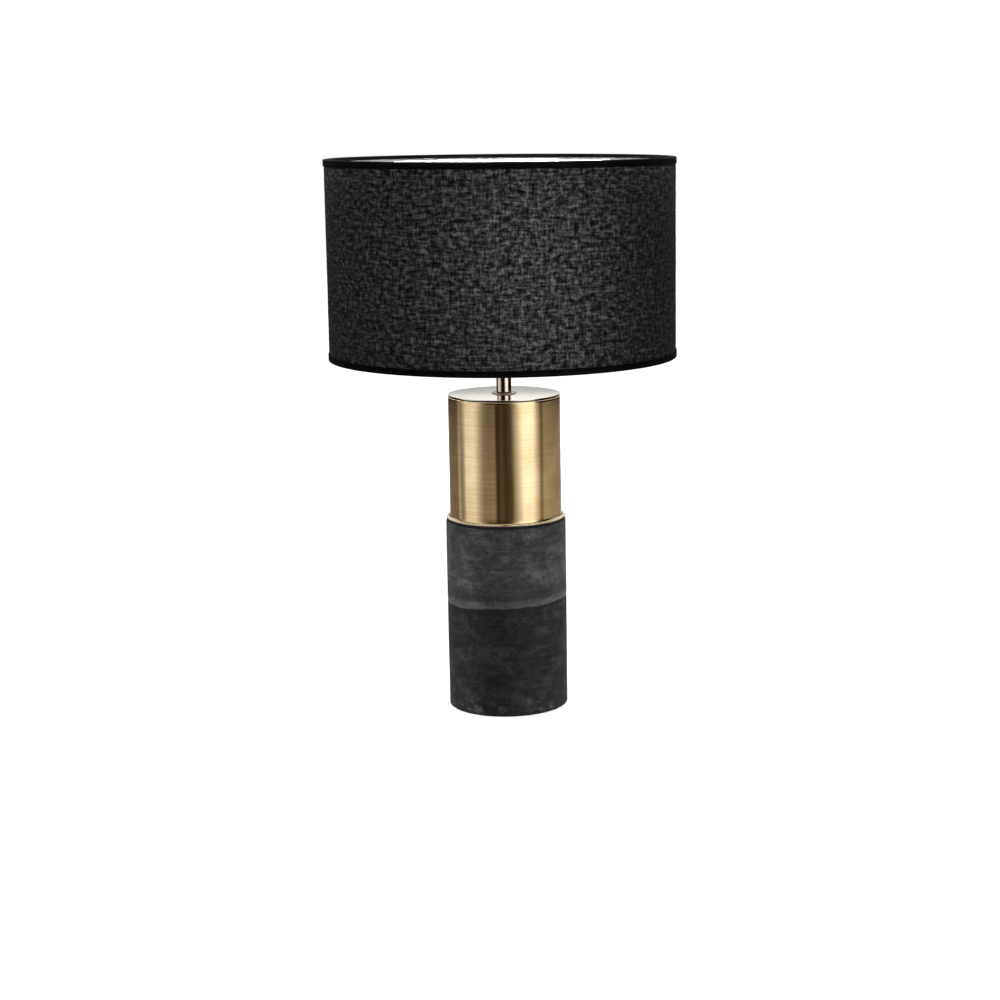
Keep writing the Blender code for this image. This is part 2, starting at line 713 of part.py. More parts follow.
def make_shade_skin(pivot):
    """Linen on a styrene lining, bound at both rims round a steel wire ring."""
    low = SHADE_BOTTOM + EDGE_INSET
    high = SHADE_TOP - EDGE_INSET
    washer(
        "shade_fabric", FABRIC_R - FABRIC_THICK, FABRIC_R, low, high,
        "black_linen", WIDE_STEPS, pivot,
    )
    washer(
        "shade_liner", LINER_R - LINER_THICK, LINER_R, low, high,
        "white_styrene", WIDE_STEPS, pivot,
    )
    rims = (
        ("top_trim", SHADE_TOP, -1, TRIM_FOLD_TOP),
        ("bottom_trim", SHADE_BOTTOM, 1, TRIM_FOLD_BOTTOM),
    )
    for name, edge, inwards, fold in rims:
        web = edge + inwards * TRIM_THICK
        outline = [
            (SHADE_R, edge + inwards * TRIM_BAND),
            (SHADE_R, edge),
            (TRIM_INNER_R, edge),
            (TRIM_INNER_R, edge + inwards * fold),
            (TRIM_INNER_R + TRIM_THICK, edge + inwards * fold),
            (TRIM_INNER_R + TRIM_THICK, web),
            (SHADE_R - TRIM_THICK, web),
            (SHADE_R - TRIM_THICK, edge + inwards * TRIM_BAND),
        ]
        if inwards < 0:
            outline.reverse()
        turned(name, outline, "black_binding", WIDE_STEPS, pivot)
    for name, height in (("top_wire_ring", UPPER_WIRE_Z), ("bottom_wire_ring", LOWER_WIRE_Z)):
        outline = arc(WIRE_RING_R, height, WIRE_R, 90, -270, WIRE_SIDES)[:-1]
        turned(name, outline, "zinc_steel", WIDE_STEPS, pivot)


def make_fitter(pivot):
    """Spider: a flat ring on the lampholder's shoulder and wire arms to the bottom ring."""
    washer(
        "fitter_ring", FITTER_INNER_R, FITTER_R, FITTER_BOTTOM, FITTER_TOP,
        "zinc_steel", ROUND_STEPS, pivot,
    )
    hub_z = FITTER_BOTTOM - GAP - WIRE_R
    rim_z = LOWER_WIRE_Z + WIRE_R + GAP + WIRE_R
    start_r = SHOULDER_R + 3 * GAP + WIRE_R
    knee_r = 44.0 * MM
    foot_length = 13.0 * MM
    foot_r = WIRE_RING_R - foot_length
    end_r = WIRE_RING_R + WIRE_R - GAP
    bend = 5.0 * MM
    slope = (hub_z - rim_z) / (foot_r - knee_r)
    profile = [
        (start_r, hub_z),
        (knee_r - bend, hub_z),
        (knee_r, hub_z - slope * bend / 4),
        (knee_r + bend, hub_z - slope * bend),
        (foot_r - bend, rim_z + slope * bend),
        (foot_r, rim_z + slope * bend / 4),
        (foot_r + bend, rim_z),
        (end_r, rim_z),
    ]
    for i in range(ARM_COUNT):
        angle = math.pi / 2 + math.tau * i / ARM_COUNT
        points = [(r * math.cos(angle), r * math.sin(angle), z) for r, z in profile]
        wire(f"fitter_arm_{i + 1}", points, WIRE_R, "zinc_steel", parent=pivot)


def make_shade_ring(pivot):
    """Ring nut over the lampholder's thread, with finger grips round its rim."""
    bore_r = SKIRT_R + GAP
    edge = 0.8 * MM
    high = RING_BOTTOM + RING_HEIGHT
    outline = [
        (bore_r, high),
        (RING_R - edge, high),
        (RING_R, high - edge),
        (RING_R, RING_BOTTOM),
        (bore_r, RING_BOTTOM),
    ]
    ring = turned("shade_ring", outline, "black_phenolic", ROUND_STEPS, pivot)
    grip_r = 2.2 * MM
    reach = RING_R + 1.0 * MM
    grip_height = RING_HEIGHT - 2.0 * MM
    for i in range(RING_GRIPS):
        angle = math.tau * (i + 0.5) / RING_GRIPS
        place = (reach * math.cos(angle), reach * math.sin(angle), high)
        scoop = cylinder_mesh("grip", grip_r, 2 * grip_height, 12)
        boolean(ring, add_cutter(f"grip_{i + 1}", scoop, Matrix.Translation(place)))


remove_everything()
PARTS = new_collection("table_lamp")
CUTTERS = new_collection("table_lamp_cutters")

make_pad()
make_concrete()
make_grommet()
make_clamp()
make_rod()
make_brass_cylinder()
make_stem()

make_holder_cap()
make_holder_skirt()
make_holder_core()
make_screw_shell()
make_centre_contact()

shade_pivot = add_pivot("shade_swivel_axis")
make_shade_skin(shade_pivot)
make_fitter(shade_pivot)
make_shade_ring(add_pivot("shade_ring_axis"))

bulb_rise_pivot = add_pivot("bulb_rise_axis")
bulb_turn_pivot = add_pivot("bulb_turn_axis", bulb_rise_pivot)
make_bulb_contact(bulb_rise_pivot)
make_bulb_cap(bulb_turn_pivot)
make_bulb_body(bulb_turn_pivot)

bpy.context.view_layer.update()
for part in [obj for obj in PARTS.objects if obj.type == "MESH"]:
    settle(part)
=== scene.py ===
"""Looks for the table lamp: concrete and brass base, bronze stem, black linen drum shade."""
import json
import math

import bmesh
import bpy
import numpy as np
from mathutils import Matrix, Vector


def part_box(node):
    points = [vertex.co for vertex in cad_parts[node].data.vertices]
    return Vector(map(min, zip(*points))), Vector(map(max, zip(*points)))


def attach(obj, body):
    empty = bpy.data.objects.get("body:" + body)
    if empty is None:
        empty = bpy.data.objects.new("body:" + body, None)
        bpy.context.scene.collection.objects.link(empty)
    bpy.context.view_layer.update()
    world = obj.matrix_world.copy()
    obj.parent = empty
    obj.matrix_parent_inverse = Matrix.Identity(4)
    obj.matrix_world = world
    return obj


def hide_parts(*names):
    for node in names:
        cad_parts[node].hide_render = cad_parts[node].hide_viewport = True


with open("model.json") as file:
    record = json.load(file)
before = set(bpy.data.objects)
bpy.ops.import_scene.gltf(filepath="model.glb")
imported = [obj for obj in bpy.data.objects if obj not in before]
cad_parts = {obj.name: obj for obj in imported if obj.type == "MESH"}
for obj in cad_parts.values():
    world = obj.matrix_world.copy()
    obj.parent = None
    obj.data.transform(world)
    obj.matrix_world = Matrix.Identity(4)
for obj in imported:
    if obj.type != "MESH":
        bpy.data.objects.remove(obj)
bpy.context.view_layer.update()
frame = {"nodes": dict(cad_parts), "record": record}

MM = 0.001
FULL = 2 * math.pi
REAR = math.pi / 2

# Camera, in the frame's own metres and radians
CAMERA_PLACE = Vector((0.0998, -2.1227, 0.60685))
CAMERA_PITCH = 0.18356
CAMERA_ROLL = -0.00729
CAMERA_LENS = 75.97
CAMERA_SHIFT = -0.1032
SENSOR = 36.0

# Joint between the two pours of concrete: its mean height, and its waves round the
# axis as (turns, size in millimetres, phase)
POUR_Z = 113.4 * MM
POUR_WAVES = ((1, 1.8, 5.76), (2, 1.0, 2.09), (4, 0.5, 1.2), (9, 0.3, 4.0))

# Distance between neighbouring threads of the linen, its glued overlap, and how thick
# the linen, the lining and the binding tape are
LINEN_PITCH = 1.7 * MM
LINEN_OVERLAP = 12.0 * MM
SHEET_THICK = 0.35 * MM

# Pitch of the bulb cap's thread, and the bulb's wall
E27_PITCH = 3.629 * MM
BULB_WALL = 1.2 * MM

# Clear bore of the pieces that the threaded rod passes through
ROD_BORE = 5.3 * MM

# Facets round the turned pieces
FINE = 256
ROUND = 160
SMALL = 96


def low(node):
    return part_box(node)[0].z


def high(node):
    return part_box(node)[1].z


def radius(node):
    """Outer radius of a CAD node that is turned about the lamp's axis."""
    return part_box(node)[1].x


# Strength of the studio that polished metal mirrors, and of the even light on everything matt
WALL_PEAK = 1.6
HAZE = 0.42
# Studio walls round the lamp: (azimuth in degrees, brightness, warmth). 0 is in front, 90 right
WALLS = ((-180, 0.50, 0.2), (-150, 0.20, 0.5), (-112, 0.22, 0.5), (-106, 0.52, 0.1), (-97, 0.24, 0.4),
         (-91, 0.36, 0.2), (-84, 1.00, 0.0), (-64, 1.08, 0.0), (-51, 0.50, 0.1), (-41, 0.27, 0.4),
         (-19, 0.33, 0.4), (-14, 0.030, 1.0), (-4, 0.110, 0.8), (3, 0.045, 1.0), (17, 0.070, 1.0),
         (24, 0.38, 0.3), (34, 0.80, 0.1), (42, 1.45, 0.0), (61, 1.38, 0.0), (73, 0.85, 0.2),
         (83, 0.20, 0.7), (91, 0.50, 0.3), (115, 0.44, 0.4), (150, 0.30, 0.4), (180, 0.50, 0.2))
# The same walls higher up, where the stem mirrors them: black between the bright boxes
UPPER_WALLS = ((-180, 0.50, 0.2), (-150, 0.02, 0.3), (-112, 0.03, 0.3), (-100, 0.25, 0.2),
               (-90, 0.70, 0.1), (-78, 0.85, 0.0), (-58, 0.85, 0.0), (-44, 0.30, 0.2),
               (-32, 0.006, 0.6), (4, 0.006, 0.6), (14, 0.12, 0.3), (24, 0.70, 0.1), (34, 1.60, 0.0),
               (62, 1.60, 0.0), (72, 0.25, 0.3), (80, 0.010, 0.6), (150, 0.010, 0.6),
               (165, 0.30, 0.4), (180, 0.50, 0.2))
# How steeply a mirrored ray falls where the lower walls give way to the upper ones
WALL_SPLIT = (-0.1395, -0.1385)

# ---------------------------------------------------------------- meshes


def ripples(angle, height, seed, around, up, waves=24):
    """Smooth noise of about unit size that closes round the axis. up is in radians per metre."""
    draw = np.random.default_rng(seed)
    total = np.zeros_like(angle + height)
    for _ in range(waves):
        turns = draw.integers(-around, around + 1)
        climb = draw.uniform(-up, up)
        total += np.cos(turns * angle + climb * height + draw.uniform(0.0, FULL))
    return total / math.sqrt(waves / 2)


def arc(centre_r, centre_z, size, start_deg, end_deg, count):
    """Points of an arc in an outline; 0 degrees is outwards and 90 is up."""
    turns = np.radians(np.linspace(start_deg, end_deg, count + 1))
    return [(centre_r + size * math.cos(t), centre_z + size * math.sin(t)) for t in turns]


def top_corner(r, z, size, count):
    """Rounded outer corner of an outline, from its top face at z to its side at r."""
    return arc(r - size, z - size, size, 90, 0, count)


def foot_corner(r, z, size, count):
    """Rounded outer corner of an outline, from its side at r to its underside at z."""
    return arc(r - size, z + size, size, 0, -90, count)


def mouth_corner(bore, z, size, count):
    """Rounded inner corner of an outline, from its bore to its top face at z."""
    return arc(bore + size, z - size, size, 180, 90, count)


def turn_from(angle, centre):
    """Angle from a centre, between half a turn back and half a turn on."""
    return np.mod(angle - centre + math.pi, FULL) - math.pi


def thread_wave(angle, height, pitch):
    """A right-hand thread's profile: 1 on its crest and 0 in its root."""
    return 0.5 + 0.5 * np.cos(FULL * height / pitch - angle)


def line(start, end, count):
    """Points from start towards end, without the end itself."""
    steps = np.arange(count) / count
    return [(start[0] + (end[0] - start[0]) * s, start[1] + (end[1] - start[1]) * s) for s in steps]


def add_object(name, data):
    obj = bpy.data.objects.new(name, data)
    bpy.context.scene.collection.objects.link(obj)
    return obj


def mesh_object(name, vertices, faces, flat, sharp_deg=40.0):
    """A mesh with its UV map 'flat' in metres, smooth but for its arrises."""
    mesh = bpy.data.meshes.new(name)
    mesh.from_pydata([tuple(v) for v in vertices], [], faces)
    layer = mesh.uv_layers.new(name="flat")
    corners = [tuple(uv) for face in flat for uv in face]
    layer.data.foreach_set("uv", np.array(corners, np.float32).ravel())
    shape = bmesh.new()
    shape.from_mesh(mesh)
    bmesh.ops.remove_doubles(shape, verts=shape.verts, dist=1e-7)
    bmesh.ops.recalc_face_normals(shape, faces=shape.faces)
    shape.to_mesh(mesh)
    shape.free()
    mesh.shade_smooth()
    mesh.set_sharp_from_angle(angle=math.radians(sharp_deg))
    return add_object(name, mesh)


def turned(name, outline, steps=ROUND, shape=None, closed=True, sharp_deg=40.0):
    """Turn an outline about Z. shape(angle, radius, height) may move the points."""
    outline = np.array(outline)
    rows = len(outline)
    angle = np.linspace(0.0, FULL, steps, endpoint=False)[:, None]
    r = np.repeat(outline[None, :, 0], steps, axis=0)
    z = np.repeat(outline[None, :, 1], steps, axis=0)
    if shape:
        r, z = shape(angle, r, z)
    points = np.stack([r * np.cos(angle), r * np.sin(angle), z + 0.0 * angle], axis=-1)
    gaps = np.linalg.norm(np.diff(outline, axis=0, append=outline[:1]), axis=1)
    along = np.concatenate([[0.0], np.cumsum(gaps)])
    reach = outline[:, 0].max() * FULL / steps
    faces = []
    flat = []
    for i in range(steps):
        j = (i + 1) % steps
        for k in range(rows if closed else rows - 1):
            n = (k + 1) % rows
            faces.append((i * rows + k, j * rows + k, j * rows + n, i * rows + n))
            across = (i * reach, (i + 1) * reach)
            flat.append([(across[0], along[k]), (across[1], along[k]),
                         (across[1], along[k + 1]), (across[0], along[k + 1])])
    return mesh_object(name, points.reshape(-1, 3), faces, flat, sharp_deg)


def smooth_path(points, per_leg=8):
    """A Catmull-Rom curve through the points."""
    points = [np.array(p, float) for p in points]
    ends = [2 * points[0] - points[1]] + points + [2 * points[-1] - points[-2]]
    path = []
    for a, b, c, d in zip(ends, ends[1:], ends[2:], ends[3:]):
        for t in np.arange(per_leg) / per_leg:
            path.append(0.5 * (2 * b + (c - a) * t + (2 * a - 5 * b + 4 * c - d) * t**2
                               + (3 * b - a - 3 * c + d) * t**3))
    return path + [points[-1]]


def tube(name, path, size, sides=16):
    """A round bar along a path, with domed ends."""
    path = np.array(path)
    ways = np.gradient(path, axis=0)
    ways /= np.linalg.norm(ways, axis=1)[:, None]
    reach, narrow = 0.35 * size, 0.55
    sections = [(path[0] - ways[0] * reach, narrow, ways[0])]
    sections += [(middle, 1.0, way) for middle, way in zip(path, ways)]
    sections += [(path[-1] + ways[-1] * reach, narrow, ways[-1])]
    vertices = []
    for middle, width, way in sections:
        side = np.cross(way, (0.0, 0.0, 1.0))
        side /= np.linalg.norm(side)
        up = np.cross(side, way)
        for t in np.arange(sides) * FULL / sides:
            vertices.append(middle + size * width * (math.cos(t) * side + math.sin(t) * up))
    faces = []
    for i in range(len(sections) - 1):
        for k in range(sides):
            n = (k + 1) % sides
            faces.append((i * sides + k, i * sides + n, (i + 1) * sides + n, (i + 1) * sides + k))
    faces.append(tuple(range(sides)))
    faces.append(tuple(range(len(vertices) - sides, len(vertices))))
    flat = [[(vertices[v][0], vertices[v][2]) for v in face] for face in faces]
    return mesh_object(name, vertices, faces, flat)


def place(obj, body, slot, *nodes):
    """Put a piece on its body, in place of its CAD nodes. slot is not used."""
    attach(obj, body)
    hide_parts(*nodes)


# ---------------------------------------------------------------- materials


def grey(level):
    return (level, level, level)


class Graph:
    """Builds shader nodes in a node tree."""

    def __init__(self, tree):
        self.tree = tree

    def node(self, kind, inputs=None, **settings):
        node = self.tree.nodes.new("ShaderNode" + kind)
        for key, value in settings.items():
            setattr(node, key, value)
        for key, value in (inputs or {}).items():
            self.feed(node.inputs[key], value)
        return node

    def feed(self, socket, value):
        """Link a socket, or set it; a colour of three parts is opaque."""
        if isinstance(value, bpy.types.NodeSocket):
            self.tree.links.new(value, socket)
        elif socket.type == "RGBA" and len(value) == 3:
            socket.default_value = (*value, 1.0)
        else:
            socket.default_value = value

    def noise(self, vector, rate, detail=2.0, rough=0.5, distort=0.0, shift=(0.0, 0.0, 0.0)):
        """Fractal noise. rate is its features a metre, along all axes or along each."""
        if isinstance(rate, tuple):
            values = {"Vector": vector, "Scale": rate, "Location": shift}
            vector, rate = self.node("Mapping", values).outputs["Vector"], 1.0
        values = {"Vector": vector, "Scale": rate, "Detail": detail, "Roughness": rough,
                  "Distortion": distort}
        return self.node("TexNoise", values).outputs["Fac"]

    def math(self, operation, a, b=0.0, c=0.0):
        node = self.node("Math", {0: a, 1: b, 2: c}, operation=operation)
        return node.outputs[0]

    def spread(self, value, from_low, from_high, to_low=0.0, to_high=1.0, smooth=False):
        values = {"Value": value, "From Min": from_low, "From Max": from_high,
                  "To Min": to_low, "To Max": to_high}
        kind = "SMOOTHSTEP" if smooth else "LINEAR"
        return self.node("MapRange", values, interpolation_type=kind).outputs["Result"]

    def band(self, value, start, full, fading, end):
        """1 between full and fading, easing to 0 at start and end."""
        return self.math("MULTIPLY", self.spread(value, start, full, smooth=True),
                         self.spread(value, end, fading, smooth=True))

    def ramp(self, value, *stops):
        node = self.node("ValToRGB", {"Fac": value})
        elements = node.color_ramp.elements
        while len(elements) < len(stops):
            elements.new(0.5)
        for element, (position, colour) in zip(elements, stops):
            element.position = position
            element.color = (*colour, 1.0)
        return node.outputs["Color"]

    def mix(self, factor, a, b, blend="MIX"):
        node = self.node("MixRGB", {"Fac": factor, "Color1": a, "Color2": b}, blend_type=blend)
        return node.outputs["Color"]

    def parts_of(self, vector):
        return self.node("SeparateXYZ", {"Vector": vector}).outputs


class Finish(Graph):
    """Builds one procedural material on a Principled BSDF."""

    def __init__(self, name):
        self.material = bpy.data.materials.new(name)
        self.material.use_nodes = True
        super().__init__(self.material.node_tree)
        self.shader = self.tree.nodes["Principled BSDF"]

    def set(self, **values):
        for key, value in values.items():
            self.feed(self.shader.inputs[key.replace("_", " ")], value)

    def flat(self):
        """Metres along the piece's own surface."""
        return self.node("UVMap", uv_map="flat").outputs["UV"]

    def solid(self):
        """Metres in the frame."""
        return self.node("TexCoord").outputs["Object"]

    def bump(self, height, distance, strength=1.0):
        values = {"Height": height, "Distance": distance, "Strength": strength}
        self.set(Normal=self.node("Bump", values).outputs["Normal"])


def linen():
    """Coarse plain-woven black linen, with slubs along its threads."""
    f = Finish("linen")
    uv = f.flat()
    drift = f.math("MULTIPLY_ADD", f.noise(uv, (45.0, 45.0, 1.0)), 2.0 * MM, -1.0 * MM)
    u, v, _ = f.parts_of(uv)
    across = f.math("DIVIDE", f.math("ADD", u, drift), LINEN_PITCH)
    along = f.math("DIVIDE", f.math("SUBTRACT", v, drift), LINEN_PITCH)
    side_u = f.math("SINE", f.math("MULTIPLY", across, math.pi))
    side_v = f.math("SINE", f.math("MULTIPLY", along, math.pi))
    pillow = f.math("MULTIPLY", f.math("ABSOLUTE", side_u), f.math("ABSOLUTE", side_v))
    over = f.spread(f.math("MULTIPLY", side_u, side_v), -0.3, 0.3, smooth=True)
    warp = f.noise(uv, (420.0, 110.0, 1.0), 1.0)
    weft = f.noise(uv, (75.0, 430.0, 1.0), 1.0, shift=(3.0, 5.0, 0.0))
    blot = f.noise(uv, (170.0, 250.0, 1.0), 1.5, shift=(9.0, 2.0, 0.0))
    slub = f.math("ADD", f.math("MULTIPLY", warp, over),
                  f.math("MULTIPLY", weft, f.math("SUBTRACT", 1.0, over)))
    tone = f.math("MULTIPLY_ADD", slub, 0.34, f.math("MULTIPLY", blot, 0.42))
    tone = f.math("MULTIPLY_ADD", f.math("ADD", warp, weft), 0.11, tone)
    tone = f.math("MULTIPLY_ADD", pillow, 0.03, tone)
    stops = ((0.38, 0.0008), (0.45, 0.0040), (0.51, 0.0120), (0.57, 0.0245), (0.64, 0.0430))
    colour = f.ramp(tone, *((at, (level, level, level * 0.98)) for at, level in stops))
    f.set(Base_Color=colour, Roughness=0.7, Specular_IOR_Level=0.04)
    relief = f.math("MULTIPLY_ADD", slub, 0.8, pillow)
    f.bump(relief, 0.25 * MM, 0.6)
    return f.material


def binding():
    """Smooth black tape."""
    f = Finish("binding")
    uv = f.flat()
    grain = f.noise(uv, (900.0, 900.0, 1.0))
    patch = f.noise(uv, (40.0, 90.0, 1.0))
    f.set(Base_Color=f.ramp(patch, (0.3, grey(0.0003)), (0.7, grey(0.0014))),
          Roughness=f.spread(grain, 0.3, 0.7, 0.50, 0.70), Specular_IOR_Level=0.02)
    f.bump(grain, 0.05 * MM, 0.5)
    return f.material


def styrene():
    """White satin sheet inside the shade."""
    f = Finish("styrene")
    uv = f.flat()
    cloud = f.noise(uv, (25.0, 25.0, 1.0), 3.0)
    ghost = f.noise(uv, (500.0, 500.0, 1.0))
    f.set(Base_Color=f.ramp(cloud, (0.3, (0.80, 0.79, 0.76)), (0.7, (0.88, 0.87, 0.85))),
          Roughness=f.spread(cloud, 0.3, 0.7, 0.42, 0.55))
    f.bump(ghost, 0.03 * MM, 0.4)
    return f.material


def brushed(name, dark, light, rough, painted_shade_below, painted_shade):
    """Metal brushed round its girth: long fine scratches, a faint patina, and painted shade that
    darkens it below a given height, in the joint where it meets the next part.
    """
    f = Finish(name)
    uv = f.flat()
    scratch = f.noise(uv, (6.0, 1500.0, 1.0), 2.0, 0.7)
    hoops = f.noise(uv, (3.0, 260.0, 1.0), shift=(2.0, 7.0, 0.0))
    patina = f.noise(uv, (22.0, 30.0, 1.0), 4.0, 0.6)
    tone = f.math("MULTIPLY_ADD", scratch, 0.35, f.math("MULTIPLY_ADD", hoops, 0.15,
                  f.math("MULTIPLY", patina, 0.5)))
    height = f.parts_of(f.solid())[2]
    # Painted shade: dark brown below the given height, as strong as the given amount, for the shade in
    # the joint
    foot = f.spread(height, painted_shade_below - 0.05 * MM, painted_shade_below - 0.15 * MM, 0.0, painted_shade)
    colour = f.mix(foot, f.ramp(tone, (0.36, dark), (0.62, light)), (0.09, 0.065, 0.04))
    f.set(Base_Color=colour, Metallic=1.0, Anisotropic=0.8, Anisotropic_Rotation=0.25,
          Roughness=f.spread(tone, 0.35, 0.65, rough[1], rough[0]))
    tangent = f.node("Tangent", direction_type="RADIAL", axis="Z")
    f.set(Tangent=tangent.outputs["Tangent"])
    f.bump(scratch, 0.004 * MM, 0.4)
    return f.material


def concrete():
    """Two pours of black concrete: paler above the joint, with a pale seam and dark under it."""
    f = Finish("concrete")
    xyz = f.solid()
    x, y, z = f.parts_of(xyz)
    angle = f.math("ARCTAN2", y, x)
    joint = POUR_Z
    for turns, size, phase in POUR_WAVES:
        wave = f.math("COSINE", f.math("MULTIPLY_ADD", angle, turns, phase))
        joint = f.math("MULTIPLY_ADD", wave, size * MM, joint)
    ragged = f.noise(xyz, 180.0, 3.0, 0.6)
    joint = f.math("MULTIPLY_ADD", ragged, 3.0 * MM, f.math("SUBTRACT", joint, 1.5 * MM))
    height = f.math("SUBTRACT", z, joint)
    cloud = f.noise(xyz, (42.0, 42.0, 60.0), 5.0, 0.65, 0.6)
    drag = f.noise(xyz, (30.0, 30.0, 380.0), 3.0, 0.6)
    patch = f.noise(xyz, (110.0, 110.0, 150.0), 4.0, 0.6, 0.8, shift=(5.0, 1.0, 3.0))
    speck = f.noise(xyz, 520.0, 3.0, 0.6)
    mottle = f.math("MULTIPLY_ADD", patch, 0.35, f.math("MULTIPLY", cloud, 0.45))
    mottle = f.math("MULTIPLY_ADD", drag, 0.20, mottle)
    # The lower pour, scuffed pale near the ground, and darkened along its foot with painted shade where
    # it meets the floor
    below = f.ramp(mottle, (0.40, (0.0038, 0.0038, 0.0040)), (0.50, (0.0092, 0.0092, 0.0094)),
                   (0.60, grey(0.0260)))
    rub = f.noise(xyz, (70.0, 70.0, 90.0), 4.0, 0.6, 0.2, shift=(2.0, 7.0, 1.0))
    scuff = f.math("MULTIPLY", f.spread(rub, 0.50, 0.72, smooth=True),
                   f.spread(z, 34.0 * MM, 8.0 * MM, smooth=True))
    below = f.mix(scuff, below, grey(0.070))
    # Painted shade: the bottom few millimetres turn nearly black, for the shade at the floor
    foot = f.math("MULTIPLY", f.spread(z, 7.0 * MM, 2.0 * MM, smooth=True), 0.75)
    below = f.mix(foot, below, grey(0.003))
    # The upper pour, with a dark belt some way above the joint
    above = f.ramp(mottle, (0.40, (0.0205, 0.0207, 0.0213)), (0.50, (0.0415, 0.0417, 0.0421)),
                   (0.60, (0.0830, 0.0830, 0.0835)))
    colour = f.mix(f.spread(height, -0.6 * MM, 1.4 * MM, smooth=True), below, above)
    belt = f.band(height, 5.0 * MM, 10.0 * MM, 12.0 * MM, 28.0 * MM)
    colour = f.mix(f.math("MULTIPLY", belt, 0.62), colour, grey(0.014))
    # The joint: a pale seam with a dark line under it
    seam = f.band(height, -0.8 * MM, 1.6 * MM, 2.0 * MM, 9.0 * MM)
    seam = f.math("MULTIPLY", seam, f.spread(cloud, 0.36, 0.62, 0.25, 0.9))
    colour = f.mix(seam, colour, (0.070, 0.070, 0.069))
    under = f.band(height, -6.0 * MM, -2.0 * MM, -0.9 * MM, 0.2 * MM)
    colour = f.mix(f.math("MULTIPLY", under, 0.55), colour, grey(0.006))
    grain = f.ramp(speck, (0.32, grey(0.55)), (0.62, grey(1.0)))
    colour = f.mix(0.7, colour, grain, "MULTIPLY")
    f.set(Base_Color=colour, Roughness=f.spread(mottle, 0.34, 0.66, 0.46, 0.66),
          Specular_IOR_Level=0.18)
    relief = f.math("MULTIPLY_ADD", speck, 0.35, f.math("MULTIPLY", drag, 0.65))
    f.bump(relief, 0.30 * MM, 0.6)
    return f.material


def bronze():
    """Dark patinated bronze, polished, and darker on the flange at the stem's foot."""
    f = Finish("bronze")
    uv = f.flat()
    streak = f.noise(uv, (1500.0, 40.0, 1.0))
    patina = f.noise(uv, (120.0, 120.0, 1.0), 4.0)
    polished = f.ramp(patina, (0.3, (0.58, 0.48, 0.41)), (0.7, (0.82, 0.72, 0.64)))
    collar = high("stem_flange")
    foot = f.spread(f.parts_of(f.solid())[2], collar + 0.2 * MM, collar + 0.1 * MM)
    f.set(Base_Color=f.mix(foot, polished, (0.16, 0.12, 0.09)), Metallic=1.0,
          Roughness=f.spread(streak, 0.3, 0.7, 0.02, 0.05))
    f.bump(streak, 0.004 * MM, 0.3)
    return f.material


def plated(name, colour, rough=0.3):
    """Plated steel or brass with faint tooling marks."""
    f = Finish(name)
    xyz = f.solid()
    cloud = f.noise(xyz, 160.0, 4.0)
    mark = f.noise(xyz, (300.0, 300.0, 2200.0))
    dark = tuple(c * 0.78 for c in colour)
    f.set(Base_Color=f.ramp(cloud, (0.3, dark), (0.7, colour)), Metallic=1.0,
          Roughness=f.spread(cloud, 0.3, 0.7, rough * 0.7, rough * 1.3))
    f.bump(mark, 0.02 * MM, 0.4)
    return f.material


def moulded(name, colour, rough=0.4, grain=0.03 * MM):
    """Moulded plastic, rubber or felt with a fine grain."""
    f = Finish(name)
    xyz = f.solid()
    cloud = f.noise(xyz, 60.0, 3.0)
    pebble = f.noise(xyz, 1500.0, 2.0)
    dark = tuple(c * 0.75 for c in colour)
    f.set(Base_Color=f.ramp(cloud, (0.3, dark), (0.7, colour)),
          Roughness=f.spread(pebble, 0.3, 0.7, rough * 0.85, rough * 1.15))
    f.bump(pebble, grain, 0.5)
    return f.material


def paint(obj, material):
    obj.data.materials.clear()
    obj.data.materials.append(material)


MATERIALS = {
    "black_linen": linen(),
    "black_binding": binding(),
    "white_styrene": styrene(),
    # Antique brass gets painted shade on the tube's flared foot, over the gasket
    "antique_brass": brushed("antique_brass", (0.68, 0.49, 0.26), (0.90, 0.71, 0.44), (0.07, 0.14),
                             low("brass_tube") + 2.2 * MM, 0.45),
    # Satin brass gets painted shade on the plate's neck and spigot, in the joint on the tube's rim
    "satin_brass": brushed("satin_brass", (0.76, 0.73, 0.66), (0.90, 0.88, 0.82), (0.03, 0.06),
                           high("brass_tube") + 1.6 * MM, 1.0),
    "dark_bronze": bronze(),
    "zinc_steel": plated("zinc_steel", (0.62, 0.63, 0.64), 0.32),
    "concrete": concrete(),
    "black_felt": moulded("black_felt", (0.020, 0.020, 0.021), 0.9, 0.25 * MM),
    "black_rubber": moulded("black_rubber", (0.004, 0.004, 0.004), 0.85),
    "black_phenolic": moulded("black_phenolic", (0.018, 0.017, 0.016), 0.32, 0.015 * MM),
    "contact_brass": plated("contact_brass", (0.80, 0.62, 0.32), 0.28),
    "nickel": plated("nickel", (0.72, 0.71, 0.68), 0.25),
    "white_plastic": moulded("white_plastic", (0.80, 0.80, 0.78), 0.4, 0.01 * MM),
    "opal_plastic": moulded("opal_plastic", (0.90, 0.90, 0.88), 0.3, 0.004 * MM),
    "circuit_board": moulded("circuit_board", (0.05, 0.20, 0.09), 0.45),
}
SLOT_OF = {part["node"]: part["material_slot"] for part in frame["record"]["subparts"]}


def finish_piece(obj, body, *nodes):
    """Place a piece for its CAD nodes, with the finish of the first one's slot."""
    slot = SLOT_OF[nodes[0]]
    paint(obj, MATERIALS[slot])
    place(obj, body, slot, *nodes)
    return obj


# ---------------------------------------------------------------- base


